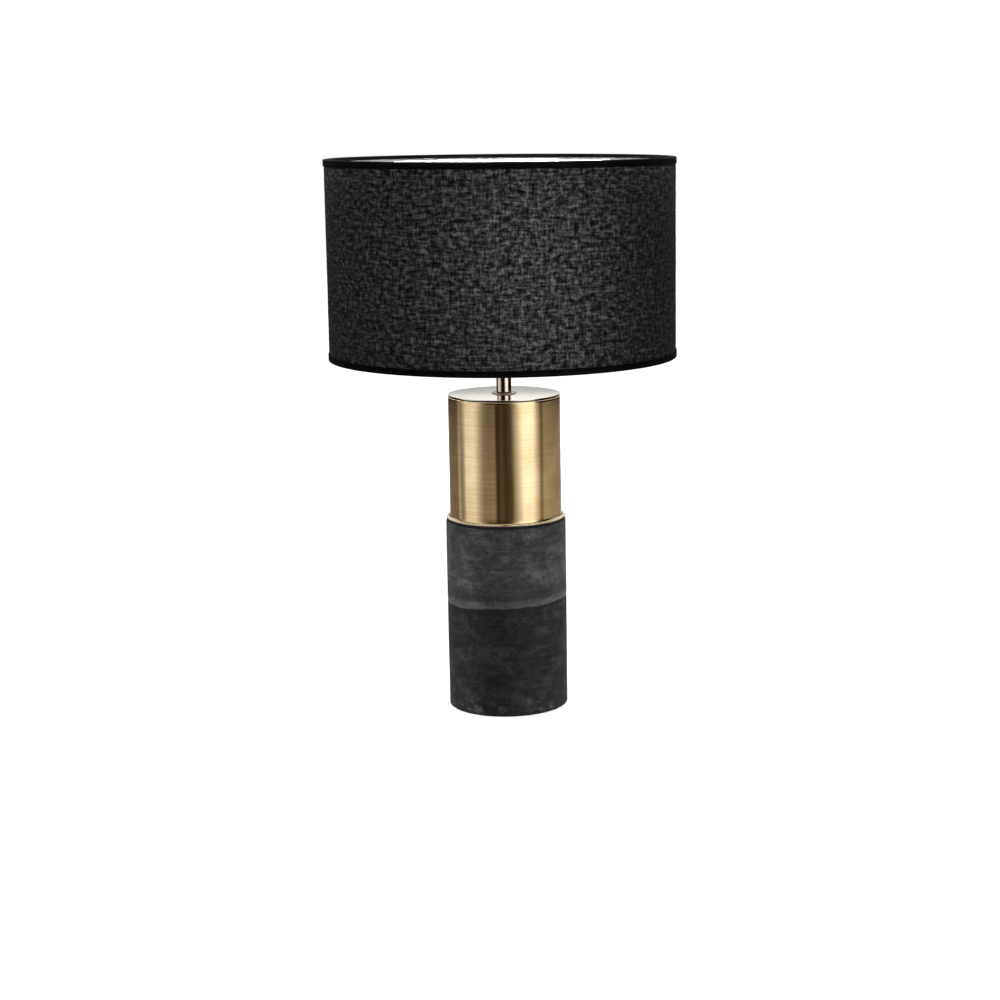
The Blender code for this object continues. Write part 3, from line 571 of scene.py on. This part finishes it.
def make_concrete():
    """Concrete cylinder: two pours with a grooved joint, cast-in pits and a chipped foot."""
    node = "concrete_body"
    r, bottom, top = radius(node), low(node), high(node)
    arris, crown, inner = 1.7 * MM, 1.1 * MM, radius("felt_pad") + 0.5 * MM
    side = r - 0.2 * MM
    rng = np.random.default_rng(41)
    pits = [(rng.uniform(0, FULL), rng.uniform(bottom + 8 * MM, top - 6 * MM),
             rng.uniform(0.7, 1.8) * MM, rng.uniform(0.15, 0.45) * MM) for _ in range(60)]

    def cast(angle, rr, z):
        wall = rr > inner + 1.0 * MM
        joint = POUR_Z + sum(size * MM * np.cos(turns * angle + phase)
                             for turns, size, phase in POUR_WAVES)
        groove = -0.35 * MM * np.exp(-((z - joint) / (1.3 * MM)) ** 2)
        ledge = 0.18 * MM / (1.0 + np.exp(-(z - joint) / (0.8 * MM)))
        swell = 0.10 * MM * ripples(angle, z, 7, 5, 60.0)
        grain = 0.035 * MM * ripples(angle, z, 8, 60, 900.0, 60)
        dent = np.zeros_like(rr + angle)
        for a, h, size, depth in pits:
            across = turn_from(angle, a) * r
            dent -= depth * np.exp(-((across**2 + (z - h) ** 2) / size**2) ** 2)
        chips = 0.5 * MM * np.clip(ripples(angle, z, 9, 40, 500.0, 40) - 1.2, 0.0, 1.0)
        edge = np.exp(-(((z - bottom) / (3.0 * MM)) ** 2))
        return rr + np.where(wall, groove + ledge + swell + grain + dent - chips * edge, 0.0), z

    outline = [(0.0, top), (r * 0.5, top), (r - 6 * MM, top)]
    outline += top_corner(side, top, crown, 4)
    outline += line((side, top - crown - 1.4 * MM), (side, bottom + arris + 1.4 * MM), 118)
    outline += foot_corner(side, bottom, arris, 6)
    outline += [(inner, bottom), (inner, bottom + 2.0 * MM), (0.0, bottom + 2.0 * MM)]
    body = turned("cast_concrete", outline, 288, cast, closed=False)
    finish_piece(body, "base", node)


def make_pad():
    """Felt pad with a fuzzy edge."""
    r, thick = radius("felt_pad"), high("felt_pad") - low("felt_pad")

    def fuzz(angle, rr, z):
        edge = rr > r * 0.9
        return rr + np.where(edge, 0.12 * MM * ripples(angle, z, 12, 80, 900.0, 40), 0.0), z

    side = r - 0.2 * MM
    outline = [(0.0, thick), (r * 0.6, thick)] + top_corner(side, thick - 0.2 * MM, 0.6 * MM, 3)
    outline += foot_corner(side, 0.0, 0.6 * MM, 3) + [(r * 0.6, 0.0), (0.0, 0.0)]
    finish_piece(turned("pad_of_felt", outline, ROUND, fuzz, closed=False), "base", "felt_pad")


def make_grommet():
    """Flanged rubber bush, turned about Z and laid along +Y at the cord hole."""
    lo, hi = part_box("cord_grommet")
    flange_r, proud, bore = (hi.x - lo.x) / 2, 2.0 * MM, 3.25 * MM
    length = hi.y - lo.y - proud
    shank = 4.5 * MM
    outline = mouth_corner(bore, proud, 1.0 * MM, 5)
    outline += top_corner(flange_r, proud, 1.2 * MM, 5)
    outline += [(flange_r, 0.0), (shank, 0.0), (shank, -length), (bore, -length)]
    bush = turned("grommet_bush", outline, SMALL)
    middle = Vector((0.0, hi.y - proud, (lo.z + hi.z) / 2))
    bush.data.transform(Matrix.Translation(middle) @ Matrix.Rotation(-math.pi / 2, 4, "X"))
    finish_piece(bush, "base", "cord_grommet")


def make_gasket():
    """Rubber ring that bulges a little between brass and concrete."""
    r, bottom, top = radius("gasket_ring"), low("gasket_ring"), high("gasket_ring")
    half = (top - bottom) / 2

    def bulge(angle, rr, z):
        return rr + np.where(rr > r * 0.95, 0.12 * MM * ripples(angle, z, 15, 14, 1.0), 0.0), z

    outline = [(r * 0.75, top)] + arc(r - half, bottom + half, half, 90, -90, 8) + [(r * 0.75, bottom)]
    finish_piece(turned("gasket", outline, ROUND, bulge), "base", "gasket_ring")


def make_brass():
    """Spun brass tube with its flared foot."""
    foot_r, bottom, top = radius("brass_tube"), low("brass_tube"), high("brass_tube")
    r, wall, flare, edge = 56.9 * MM, 1.0 * MM, 2.2 * MM, 0.45 * MM
    centre = (r + flare, bottom + wall + flare)

    def spun(angle, rr, z):
        return rr - 0.05 * MM + 0.05 * MM * ripples(angle, z, 21, 5, 40.0, 12), z

    outline = top_corner(r, top, 0.35 * MM, 3)
    outline += line((r, top - 2 * MM), (r, centre[1] + 1.0 * MM), 40)
    outline += arc(*centre, flare, 180, 270, 10)
    outline += arc(foot_r - edge, bottom + wall - edge, edge, 90, -70, 6)
    outline += [(foot_r - 1.0 * MM, bottom)]
    outline += arc(*centre, flare + wall, 270, 180, 8)
    outline += [(r - wall, top - 1.0 * MM), (r - wall, top)]
    cylinder = finish_piece(turned("brass_cylinder", outline, FINE, spun), "base", "brass_tube")
    cylinder.visible_glossy = False  # as for the plate on top of it


def make_top_plate():
    """Plate that stands on the brass tube's rim, its spigot inside the tube."""
    node = "top_plate"
    r, top, bottom = radius(node), high(node), low(node)
    neck, spigot = r - 0.3 * MM, r - 1.0 * MM
    thick, edge, rim = 0.8 * MM, 0.3 * MM, high("brass_tube") + 0.3 * MM

    def crown(angle, rr, z):
        fall = 0.10 * MM * (rr / r) ** 2
        return rr, z - np.where(z > top - 0.01 * MM, fall, 0.0) + 0.0 * angle

    outline = line((ROD_BORE, top), (r - edge - 0.5 * MM, top), 16)
    outline += top_corner(r, top, edge, 5)
    outline += [(r, top - thick), (neck, top - thick), (neck, rim), (spigot, rim)]
    outline += [(spigot, bottom), (ROD_BORE, bottom)]
    plate = finish_piece(turned("plate_on_top", outline, FINE, crown), "base", node)
    plate.visible_glossy = False  # so that the stem's bright lines run straight down to its foot


def make_stem():
    """Stem tube, whose side has points near both ends so that it shades as a straight one."""
    r, bottom, top = radius("stem_tube"), low("stem_tube"), high("stem_tube")
    bore, edge, clear = r - 1.1 * MM, 0.4 * MM, 0.6 * MM
    outline = top_corner(r, top, edge, 4)
    outline += line((r, top - clear), (r, bottom + clear), 12) + [(r, bottom + clear)]
    outline += foot_corner(r, bottom, edge, 4)
    outline += [(bore, bottom), (bore, top)]
    finish_piece(turned("stem_column", outline, SMALL), "base", "stem_tube")


def make_flange():
    """Thin flange under the stem, a little lower outside the collar that the stem stands on."""
    r, bottom, top = radius("stem_flange"), low("stem_flange"), high("stem_flange")
    edge, collar = 0.7 * MM, 8.6 * MM
    outline = [(ROD_BORE, top), (collar, top)]
    outline += top_corner(r, top - 0.3 * MM, edge, 5)
    outline += [(r, bottom), (ROD_BORE, bottom)]
    finish_piece(turned("stem_collar", outline, SMALL), "base", "stem_flange")


# ---------------------------------------------------------------- lampholder


def threaded(pitch, depth, bottom, top):
    """A shape callback that rolls a right-hand thread inwards between two heights."""
    def roll(angle, rr, z):
        fade = np.clip((z - bottom) / pitch, 0, 1) * np.clip((top - z) / pitch, 0, 1)
        return rr - depth * (1.0 - thread_wave(angle, z, pitch)) * fade, z
    return roll


def make_skirt():
    """Lampholder skirt: a shoulder, a moulded external thread and a plain rim."""
    node = "holder_skirt"
    bottom, top = low(node), high(node)
    shoulder_top = low("fitter_ring") - 0.3 * MM
    r, bore, shoulder_r = 19.5 * MM, 17.0 * MM, radius(node)
    spigot, core_bore, waist, cap_top = 16.7 * MM, 14.7 * MM, 19.0 * MM, high("holder_cap") + 0.3 * MM
    roll = threaded(2.5 * MM, 0.55 * MM, shoulder_top + 2 * MM, top - 3 * MM)

    def shape(angle, rr, z):
        outside = (rr > r - 0.01 * MM) & (rr < r + 0.01 * MM) & (z > shoulder_top + 0.5 * MM)
        rolled, z = roll(angle, rr, z)
        return np.where(outside, rolled, rr), z

    outline = mouth_corner(bore, top, 0.8 * MM, 4)
    outline += top_corner(r, top, 0.8 * MM, 4)
    outline += line((r, top - 1.2 * MM), (r, shoulder_top + 0.6 * MM), 84)
    outline += [(r, shoulder_top)]
    outline += arc(shoulder_r - 0.6 * MM, shoulder_top - 0.6 * MM, 0.6 * MM, 90, -40, 5)
    outline += [(waist, shoulder_top - 3.5 * MM), (waist, cap_top)]
    outline += [(spigot, cap_top), (spigot, bottom), (core_bore, bottom)]
    outline += [(core_bore, bottom + 11 * MM), (bore, bottom + 14 * MM)]
    finish_piece(turned("skirt_of_holder", outline, SMALL, shape), "base", node)


def make_holder_cap():
    """Domed cap with a knurled waist, over the stem."""
    node = "holder_cap"
    r, bottom, top = radius(node), low(node), high(node)
    neck, wall = 8.5 * MM, 2.0 * MM
    swell = r - neck
    shoulder_z = bottom + 17.0 * MM

    def ribs(angle, rr, z):
        band = np.exp(-(((z - (top - 5.0 * MM)) / (2.8 * MM)) ** 6)) * (rr > r - 0.3 * MM)
        return rr - 0.35 * MM * band * (0.5 + 0.5 * np.cos(40 * angle)), z

    outline = top_corner(r, top, 0.8 * MM, 3)
    outline += line((r, top - 1.4 * MM), (r, shoulder_z), 14)
    outline += arc(neck, shoulder_z, swell, 0, -84, 14)
    outline += foot_corner(neck, bottom, 0.6 * MM, 3)
    outline += [(ROD_BORE, bottom), (ROD_BORE, bottom + 9.5 * MM), (neck, bottom + 9.5 * MM)]
    outline += [(r - wall, shoulder_z + 1.0 * MM), (r - wall, top)]
    finish_piece(turned("cap_of_holder", outline, 320, ribs), "base", node)


def make_shade_ring():
    """Ring nut with finger grips."""
    node = "shade_ring"
    r, bottom, top = radius("fitter_ring") - 4.0 * MM, low(node), high(node)
    bore = 19.8 * MM
    grips, grip_half = 12, 2.2 * MM / r

    def scallop(angle, rr, z):
        turn = np.mod(angle, FULL / grips) - FULL / grips / 2
        scoop = np.clip(1.0 - (turn / grip_half) ** 2, 0.0, 1.0) ** 0.5
        rise = np.clip((z - bottom - 1.0 * MM) / (1.5 * MM), 0.0, 1.0)
        return rr - 1.2 * MM * scoop * rise * (rr > r - 1.2 * MM), z

    outline = mouth_corner(bore, top, 0.7 * MM, 4)
    outline += top_corner(r, top, 0.9 * MM, 4)
    outline += line((r, top - 1.2 * MM), (r, bottom + 0.5 * MM), 8)
    outline += foot_corner(r, bottom, 0.4 * MM, 3)
    outline += [(bore, bottom)]
    finish_piece(turned("ring_nut", outline, 360, scallop), "shade_ring", node)


# ---------------------------------------------------------------- bulb


def make_diffuser():
    """Opal globe, open below."""
    r, bottom, top = radius("bulb_diffuser"), low("bulb_diffuser"), high("bulb_diffuser")
    centre = top - r
    start = math.degrees(math.asin((bottom - centre) / r))
    outline = [(0.0, top)] + arc(0.0, centre, r, 88, start, 34)
    outline += arc(0.0, centre, r - BULB_WALL, start, 88, 24) + [(0.0, top - BULB_WALL)]
    finish_piece(turned("opal_globe", outline, SMALL, closed=False), "bulb", "bulb_diffuser")


def make_housing():
    """White shell that flares from the screw cap up to the globe."""
    node = "bulb_housing"
    split, foot = high(node), high("bulb_cap") + 0.3 * MM
    split_r, foot_r, collar = radius(node), 14.4 * MM, 12.2 * MM
    rise = np.linspace(0.0, 1.0, 20)
    flare = [(foot_r + (split_r - foot_r) * math.sin(s * math.pi / 2) ** 1.25,
              foot + (split - foot) * s) for s in rise]
    outline = [(split_r - BULB_WALL, split), (split_r - 0.3 * MM, split)] + flare[-2::-1]
    outline += [(collar, foot), (collar, low(node)), (collar - BULB_WALL, low(node))]
    outline += [(x - BULB_WALL, z) for x, z in flare[:-1]]
    finish_piece(turned("bulb_shell", outline, SMALL), "bulb", node)


def make_bulb_cap():
    """Screw cap: four turns of thread pressed into thin metal, drawn in below."""
    node = "bulb_cap"
    crest, root, lining = radius(node), 12.15 * MM, 11.6 * MM
    mouth, mouth_bore = 9.8 * MM, 9.3 * MM
    bottom = low(node) + 1.6 * MM
    top = bottom + 4 * E27_PITCH

    def roll(angle, rr, z):
        body = (np.abs(rr - root) < 0.01 * MM) & (z > bottom) & (z < top)
        return np.where(body, root + (crest - root) * thread_wave(angle, z, E27_PITCH), rr), z

    outline = [(crest - 0.5 * MM, high(node)), (crest, high(node)), (crest, top + 1.0 * MM)]
    outline += line((root, top), (root, bottom), 48)
    outline += [(root, bottom), (mouth, low(node)), (mouth_bore, low(node)), (mouth_bore, bottom)]
    outline += [(lining, bottom + 0.5 * MM), (lining, top + 1.0 * MM)]
    outline += [(crest - 0.5 * MM, top + 1.5 * MM)]
    finish_piece(turned("screw_cap", outline, SMALL, roll), "bulb", node)


# ---------------------------------------------------------------- shade


def wrapped_sheet(name, r, bottom, top, columns, rows, overlap, lift, joint_at, relief):
    """A sheet wrapped once round the axis, its last stretch lying over its start at joint_at."""
    length = FULL * r + overlap
    faces = []
    flat = []
    along = np.linspace(0.0, length, columns + 1)
    up = np.linspace(bottom, top, rows + 1)
    s, z = np.meshgrid(along, up, indexing="ij")
    over = np.clip((s - (length - 2.2 * overlap)) / (0.8 * overlap), 0.0, 1.0)
    rr = r + lift * over * over * (3.0 - 2.0 * over)
    angle = joint_at - overlap / (2 * r) + s / r
    rr = rr + relief(angle, z)
    points = np.stack([rr * np.cos(angle), rr * np.sin(angle), z], axis=-1)
    for i in range(columns):
        for k in range(rows):
            a = i * (rows + 1) + k
            b = a + rows + 1
            faces.append((a, b, b + 1, a + 1))
            flat.append([(s[i, k], z[i, k]), (s[i + 1, k], z[i, k]),
                         (s[i + 1, k], z[i, k + 1]), (s[i, k], z[i, k + 1])])
    sheet = mesh_object(name, points.reshape(-1, 3), faces, flat)
    skin = sheet.modifiers.new("thickness", "SOLIDIFY")
    skin.thickness = SHEET_THICK
    skin.offset = -1.0
    return sheet


def make_linen():
    """Linen strip round the shade, with its glued overlap at the rear; also its flat size."""
    r, bottom, top = radius("shade_fabric"), low("shade_fabric"), high("shade_fabric")

    def slubs(angle, z):
        weft = ripples(angle, z, 31, 30, 1100.0, 60)
        warp = ripples(angle, z, 32, 420, 60.0, 60)
        return 0.05 * MM * weft + 0.04 * MM * warp

    cover = wrapped_sheet("linen_cover", r - 0.25 * MM, bottom, top, 460, 76,
                          LINEN_OVERLAP, 0.45 * MM, REAR, slubs)
    return finish_piece(cover, "shade", "shade_fabric"), (FULL * r + LINEN_OVERLAP, top - bottom)


def make_lining():
    """Rigid lining sheet, its own overlap some way round from the linen's."""
    r, bottom, top = radius("shade_liner"), low("shade_liner"), high("shade_liner")

    def buckle(angle, z):
        return 0.05 * MM * ripples(angle, z, 35, 9, 25.0)

    lining = wrapped_sheet("lining_sheet", r - 0.1 * MM, bottom, top, 240, 24,
                           9.0 * MM, -0.38 * MM, REAR + 1.1, buckle)
    finish_piece(lining, "shade", "shade_liner")


def make_bindings():
    """Tape folded over each rim, round the wire: a smooth band outside, a short leg inside."""
    bands = []
    for name, node, way in (("top_binding", "top_trim", -1), ("bottom_binding", "bottom_trim", 1)):
        lo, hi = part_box(node)
        edge = hi.z if way < 0 else lo.z
        r, band = hi.x, hi.z - lo.z
        fold = (3.8 if way < 0 else 3.1) * MM
        inner, thick, nose = r - 6.0 * MM, SHEET_THICK, 1.1 * MM

        def pucker(angle, rr, z, inner=inner, edge=edge, seed=51 + way):
            inside = rr < inner + 2.0 * MM
            away = np.abs(z - edge) > 1.6 * MM
            lap = 0.25 * MM * np.exp(-(((angle - REAR) * r / (7.0 * MM)) ** 6))
            loose = 0.12 * MM * ripples(angle, z, seed, 60, 200.0)
            return rr + np.where(inside, -0.6 * lap - loose * away, lap + 0.25 * loose * away), z

        outline = [(r - thick, edge + way * band), (r, edge + way * band)]
        outline += line((r, edge + way * (band - 0.5 * MM)), (r, edge + way * nose), 3)
        outline += [(r - nose + nose * math.cos(t), edge + way * (nose - nose * math.sin(t)))
                    for t in np.linspace(0, math.pi / 2, 6)]
        outline += [(inner + nose - nose * math.sin(t), edge + way * (nose - nose * math.cos(t)))
                    for t in np.linspace(0, math.pi / 2, 6)]
        outline += [(inner, edge + way * fold), (inner + thick, edge + way * fold)]
        outline += [(inner + thick, edge + way * (nose + thick)), (inner + nose, edge + way * thick)]
        outline += [(r - nose, edge + way * thick), (r - thick, edge + way * (nose + thick))]
        tape = turned(name, outline, FINE, pucker, sharp_deg=60.0)
        bands.append(finish_piece(tape, "shade", node))
    return bands


def make_frame_wires():
    """Steel rings inside the rims and the three arms of the spider."""
    for node in ("top_wire_ring", "bottom_wire_ring"):
        lo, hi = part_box(node)
        size = (hi.z - lo.z) / 2
        ring = turned(f"{node}_steel", arc(hi.x - size, (lo.z + hi.z) / 2, size, 90, -240, 11), ROUND)
        finish_piece(ring, "shade", node)
    lo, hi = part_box("fitter_arm_1")
    size = hi.x
    top_z, foot_z = hi.z - size, lo.z + size
    start, end = lo.y, hi.y
    knee, foot = 44.0 * MM, end - 14.5 * MM
    profile = [(start + size, top_z), (knee - 5 * MM, top_z), (knee + 6 * MM, top_z - 1.9 * MM),
               (foot - 6 * MM, foot_z + 1.9 * MM), (foot + 5 * MM, foot_z), (end - size, foot_z)]
    for i in range(3):
        angle = REAR + FULL * i / 3
        points = [(r * math.cos(angle), r * math.sin(angle), z) for r, z in profile]
        arm = tube(f"spider_arm_{i + 1}", smooth_path(points), size * 0.98)
        finish_piece(arm, "shade", f"fitter_arm_{i + 1}")
    r, bottom, top = radius("fitter_ring"), low("fitter_ring"), high("fitter_ring")
    bore, edge = 20.2 * MM, 0.4 * MM

    def welds(angle, rr, z):
        near = sum(np.exp(-(turn_from(angle, REAR + FULL * i / 3) * r / (2.5 * MM)) ** 2)
                   for i in range(3))
        return rr + 0.35 * MM * near * (rr > r - 1.0 * MM), z

    outline = mouth_corner(bore, top, edge, 3) + top_corner(r, top, edge, 3)
    outline += foot_corner(r, bottom, edge, 3)
    outline += arc(bore + edge, bottom + edge, edge, -90, -180, 3)
    finish_piece(turned("spider_ring", outline, ROUND, welds), "shade", "fitter_ring")


# ---------------------------------------------------------------- studio


def add_camera():
    data = bpy.data.cameras.new("camera")
    data.lens = CAMERA_LENS
    data.sensor_width = SENSOR
    data.shift_x = CAMERA_SHIFT
    camera = add_object("camera", data)
    tilt = Matrix.Rotation(math.pi / 2 - CAMERA_PITCH, 4, "X")
    camera.matrix_world = Matrix.Translation(CAMERA_PLACE) @ tilt @ Matrix.Rotation(CAMERA_ROLL, 4, "Z")
    bpy.context.scene.camera = camera


def add_light(name, azimuth, elevation, distance, size, power, aim=0.3, spread=180.0):
    """A softbox that looks at the lamp's axis. Azimuth 0 is in front and 90 on the right."""
    a, e = math.radians(azimuth), math.radians(elevation)
    data = bpy.data.lights.new(name, "AREA")
    data.energy = power
    data.shape = "RECTANGLE"
    data.size, data.size_y = size
    data.spread = math.radians(spread)
    lamp = add_object(name, data)
    back = Vector((math.sin(a) * math.cos(e), -math.cos(a) * math.cos(e), math.sin(e)))
    lamp.location = Vector((0.0, 0.0, aim)) + back * distance
    lamp.rotation_mode = "QUATERNION"
    lamp.rotation_quaternion = back.to_track_quat("Z", "Y")
    lamp.visible_glossy = False
    lamp.visible_camera = False


def wall_stop(degrees, bright, warm):
    """One stop of a wall's ramp, from its azimuth, brightness and warmth."""
    colour = (bright, bright * (1.0 - 0.35 * warm), bright * (1.0 - 0.80 * warm))
    return (degrees + 180) / 360, tuple(c / WALL_PEAK for c in colour)


def add_world():
    """White to the camera; to the lamp, warm studio walls with a softbox on each side."""
    world = bpy.data.worlds.new("studio")
    bpy.context.scene.world = world
    world.use_nodes = True
    world.cycles.sampling_method = "NONE"
    f = Graph(world.node_tree)
    f.tree.nodes.clear()
    out = f.node("OutputWorld")
    x, y, z = f.parts_of(f.node("TexCoord").outputs["Generated"])
    azimuth = f.math("DEGREES", f.math("ARCTAN2", x, f.math("MULTIPLY", y, -1.0)))
    turn = f.math("MULTIPLY_ADD", azimuth, 1 / 360, 0.5)
    lower = f.ramp(turn, *(wall_stop(*stop) for stop in WALLS))
    upper = f.ramp(turn, *(wall_stop(*stop) for stop in UPPER_WALLS))
    walls = f.mix(f.spread(z, *WALL_SPLIT), lower, upper)
    # The wall behind the lamp grows paler upwards, the floor is pale and so is the ceiling
    behind = f.spread(f.math("ABSOLUTE", azimuth), 105.0, 130.0, smooth=True)
    climb = f.math("MULTIPLY", behind, f.spread(z, 0.02, 0.07, smooth=True))
    backdrop = f.ramp(f.spread(z, 0.127, 0.140), (0.0, grey(0.24)), (1.0, (0.74, 0.73, 0.71)))
    light = f.mix(climb, walls, backdrop)
    light = f.mix(f.spread(z, 0.45, 0.8, smooth=True), light, grey(0.55))
    light = f.mix(f.spread(z, -0.25, -0.45, smooth=True), light, grey(0.60))
    room = f.node("Background", {"Color": light, "Strength": WALL_PEAK})
    haze = f.node("Background", {"Color": grey(1.0), "Strength": HAZE})
    white = f.node("Background", {"Color": grey(1.0), "Strength": 1.0})
    rays = f.node("LightPath").outputs
    unseen = f.node("MixShader", {0: rays["Is Diffuse Ray"], 1: room.outputs[0], 2: haze.outputs[0]})
    both = f.node("MixShader", {0: rays["Is Camera Ray"], 1: unseen.outputs[0], 2: white.outputs[0]})
    f.feed(out.inputs["Surface"], both.outputs[0])


def add_floor():
    """Pale floor, lit evenly, with only a soft contact shadow."""
    mesh = bpy.data.meshes.new("floor")
    shape = bmesh.new()
    bmesh.ops.create_circle(shape, cap_ends=True, segments=64, radius=6.0)
    shape.to_mesh(mesh)
    shape.free()
    floor = add_object("floor", mesh)
    f = Finish("floor_white")
    f.set(Base_Color=grey(0.85), Roughness=1.0, Specular_IOR_Level=0.0,
          Emission_Color=grey(1.0), Emission_Strength=0.80)
    paint(floor, f.material)
    floor.visible_glossy = False
    floor.visible_diffuse = False


def add_lights():
    """Strips for the shade and for the base's two sides, a fill, a top light and the shade's mouth."""
    add_light("shade_strip", 16.0, 0.0, 0.78, (0.08, 0.30), 0.33, aim=0.46, spread=26.0)
    add_light("fill_left", -42.0, 8.0, 1.2, (0.8, 0.8), 0.5)
    add_light("shade_left", -19.0, 0.0, 1.2, (0.3, 0.1), 0.18, aim=0.47, spread=22.0)
    add_light("base_left", -82.0, 0.0, 1.0, (0.5, 0.15), 0.44, aim=0.08, spread=22.0)
    add_light("base_right", 78.0, 0.0, 1.0, (0.5, 0.15), 0.48, aim=0.08, spread=22.0)
    add_light("top", 0.0, 80.0, 1.8, (1.2, 1.2), 5.0)
    add_light("mouth", 0.0, 24.0, 0.9, (0.6, 0.06), 3.0, aim=0.629, spread=18.0)


bpy.context.scene.view_settings.view_transform = "Standard"
add_camera()
add_world()
add_floor()
add_lights()

for node_name, cad in frame["nodes"].items():
    paint(cad, MATERIALS[SLOT_OF[node_name]])

make_concrete()
make_pad()
make_grommet()
make_gasket()
make_brass()
make_top_plate()
make_stem()
make_flange()
make_holder_cap()
make_skirt()
make_shade_ring()
make_diffuser()
make_housing()
make_bulb_cap()
linen_cover, linen_flat = make_linen()
make_lining()
rim_bindings = make_bindings()
make_frame_wires()
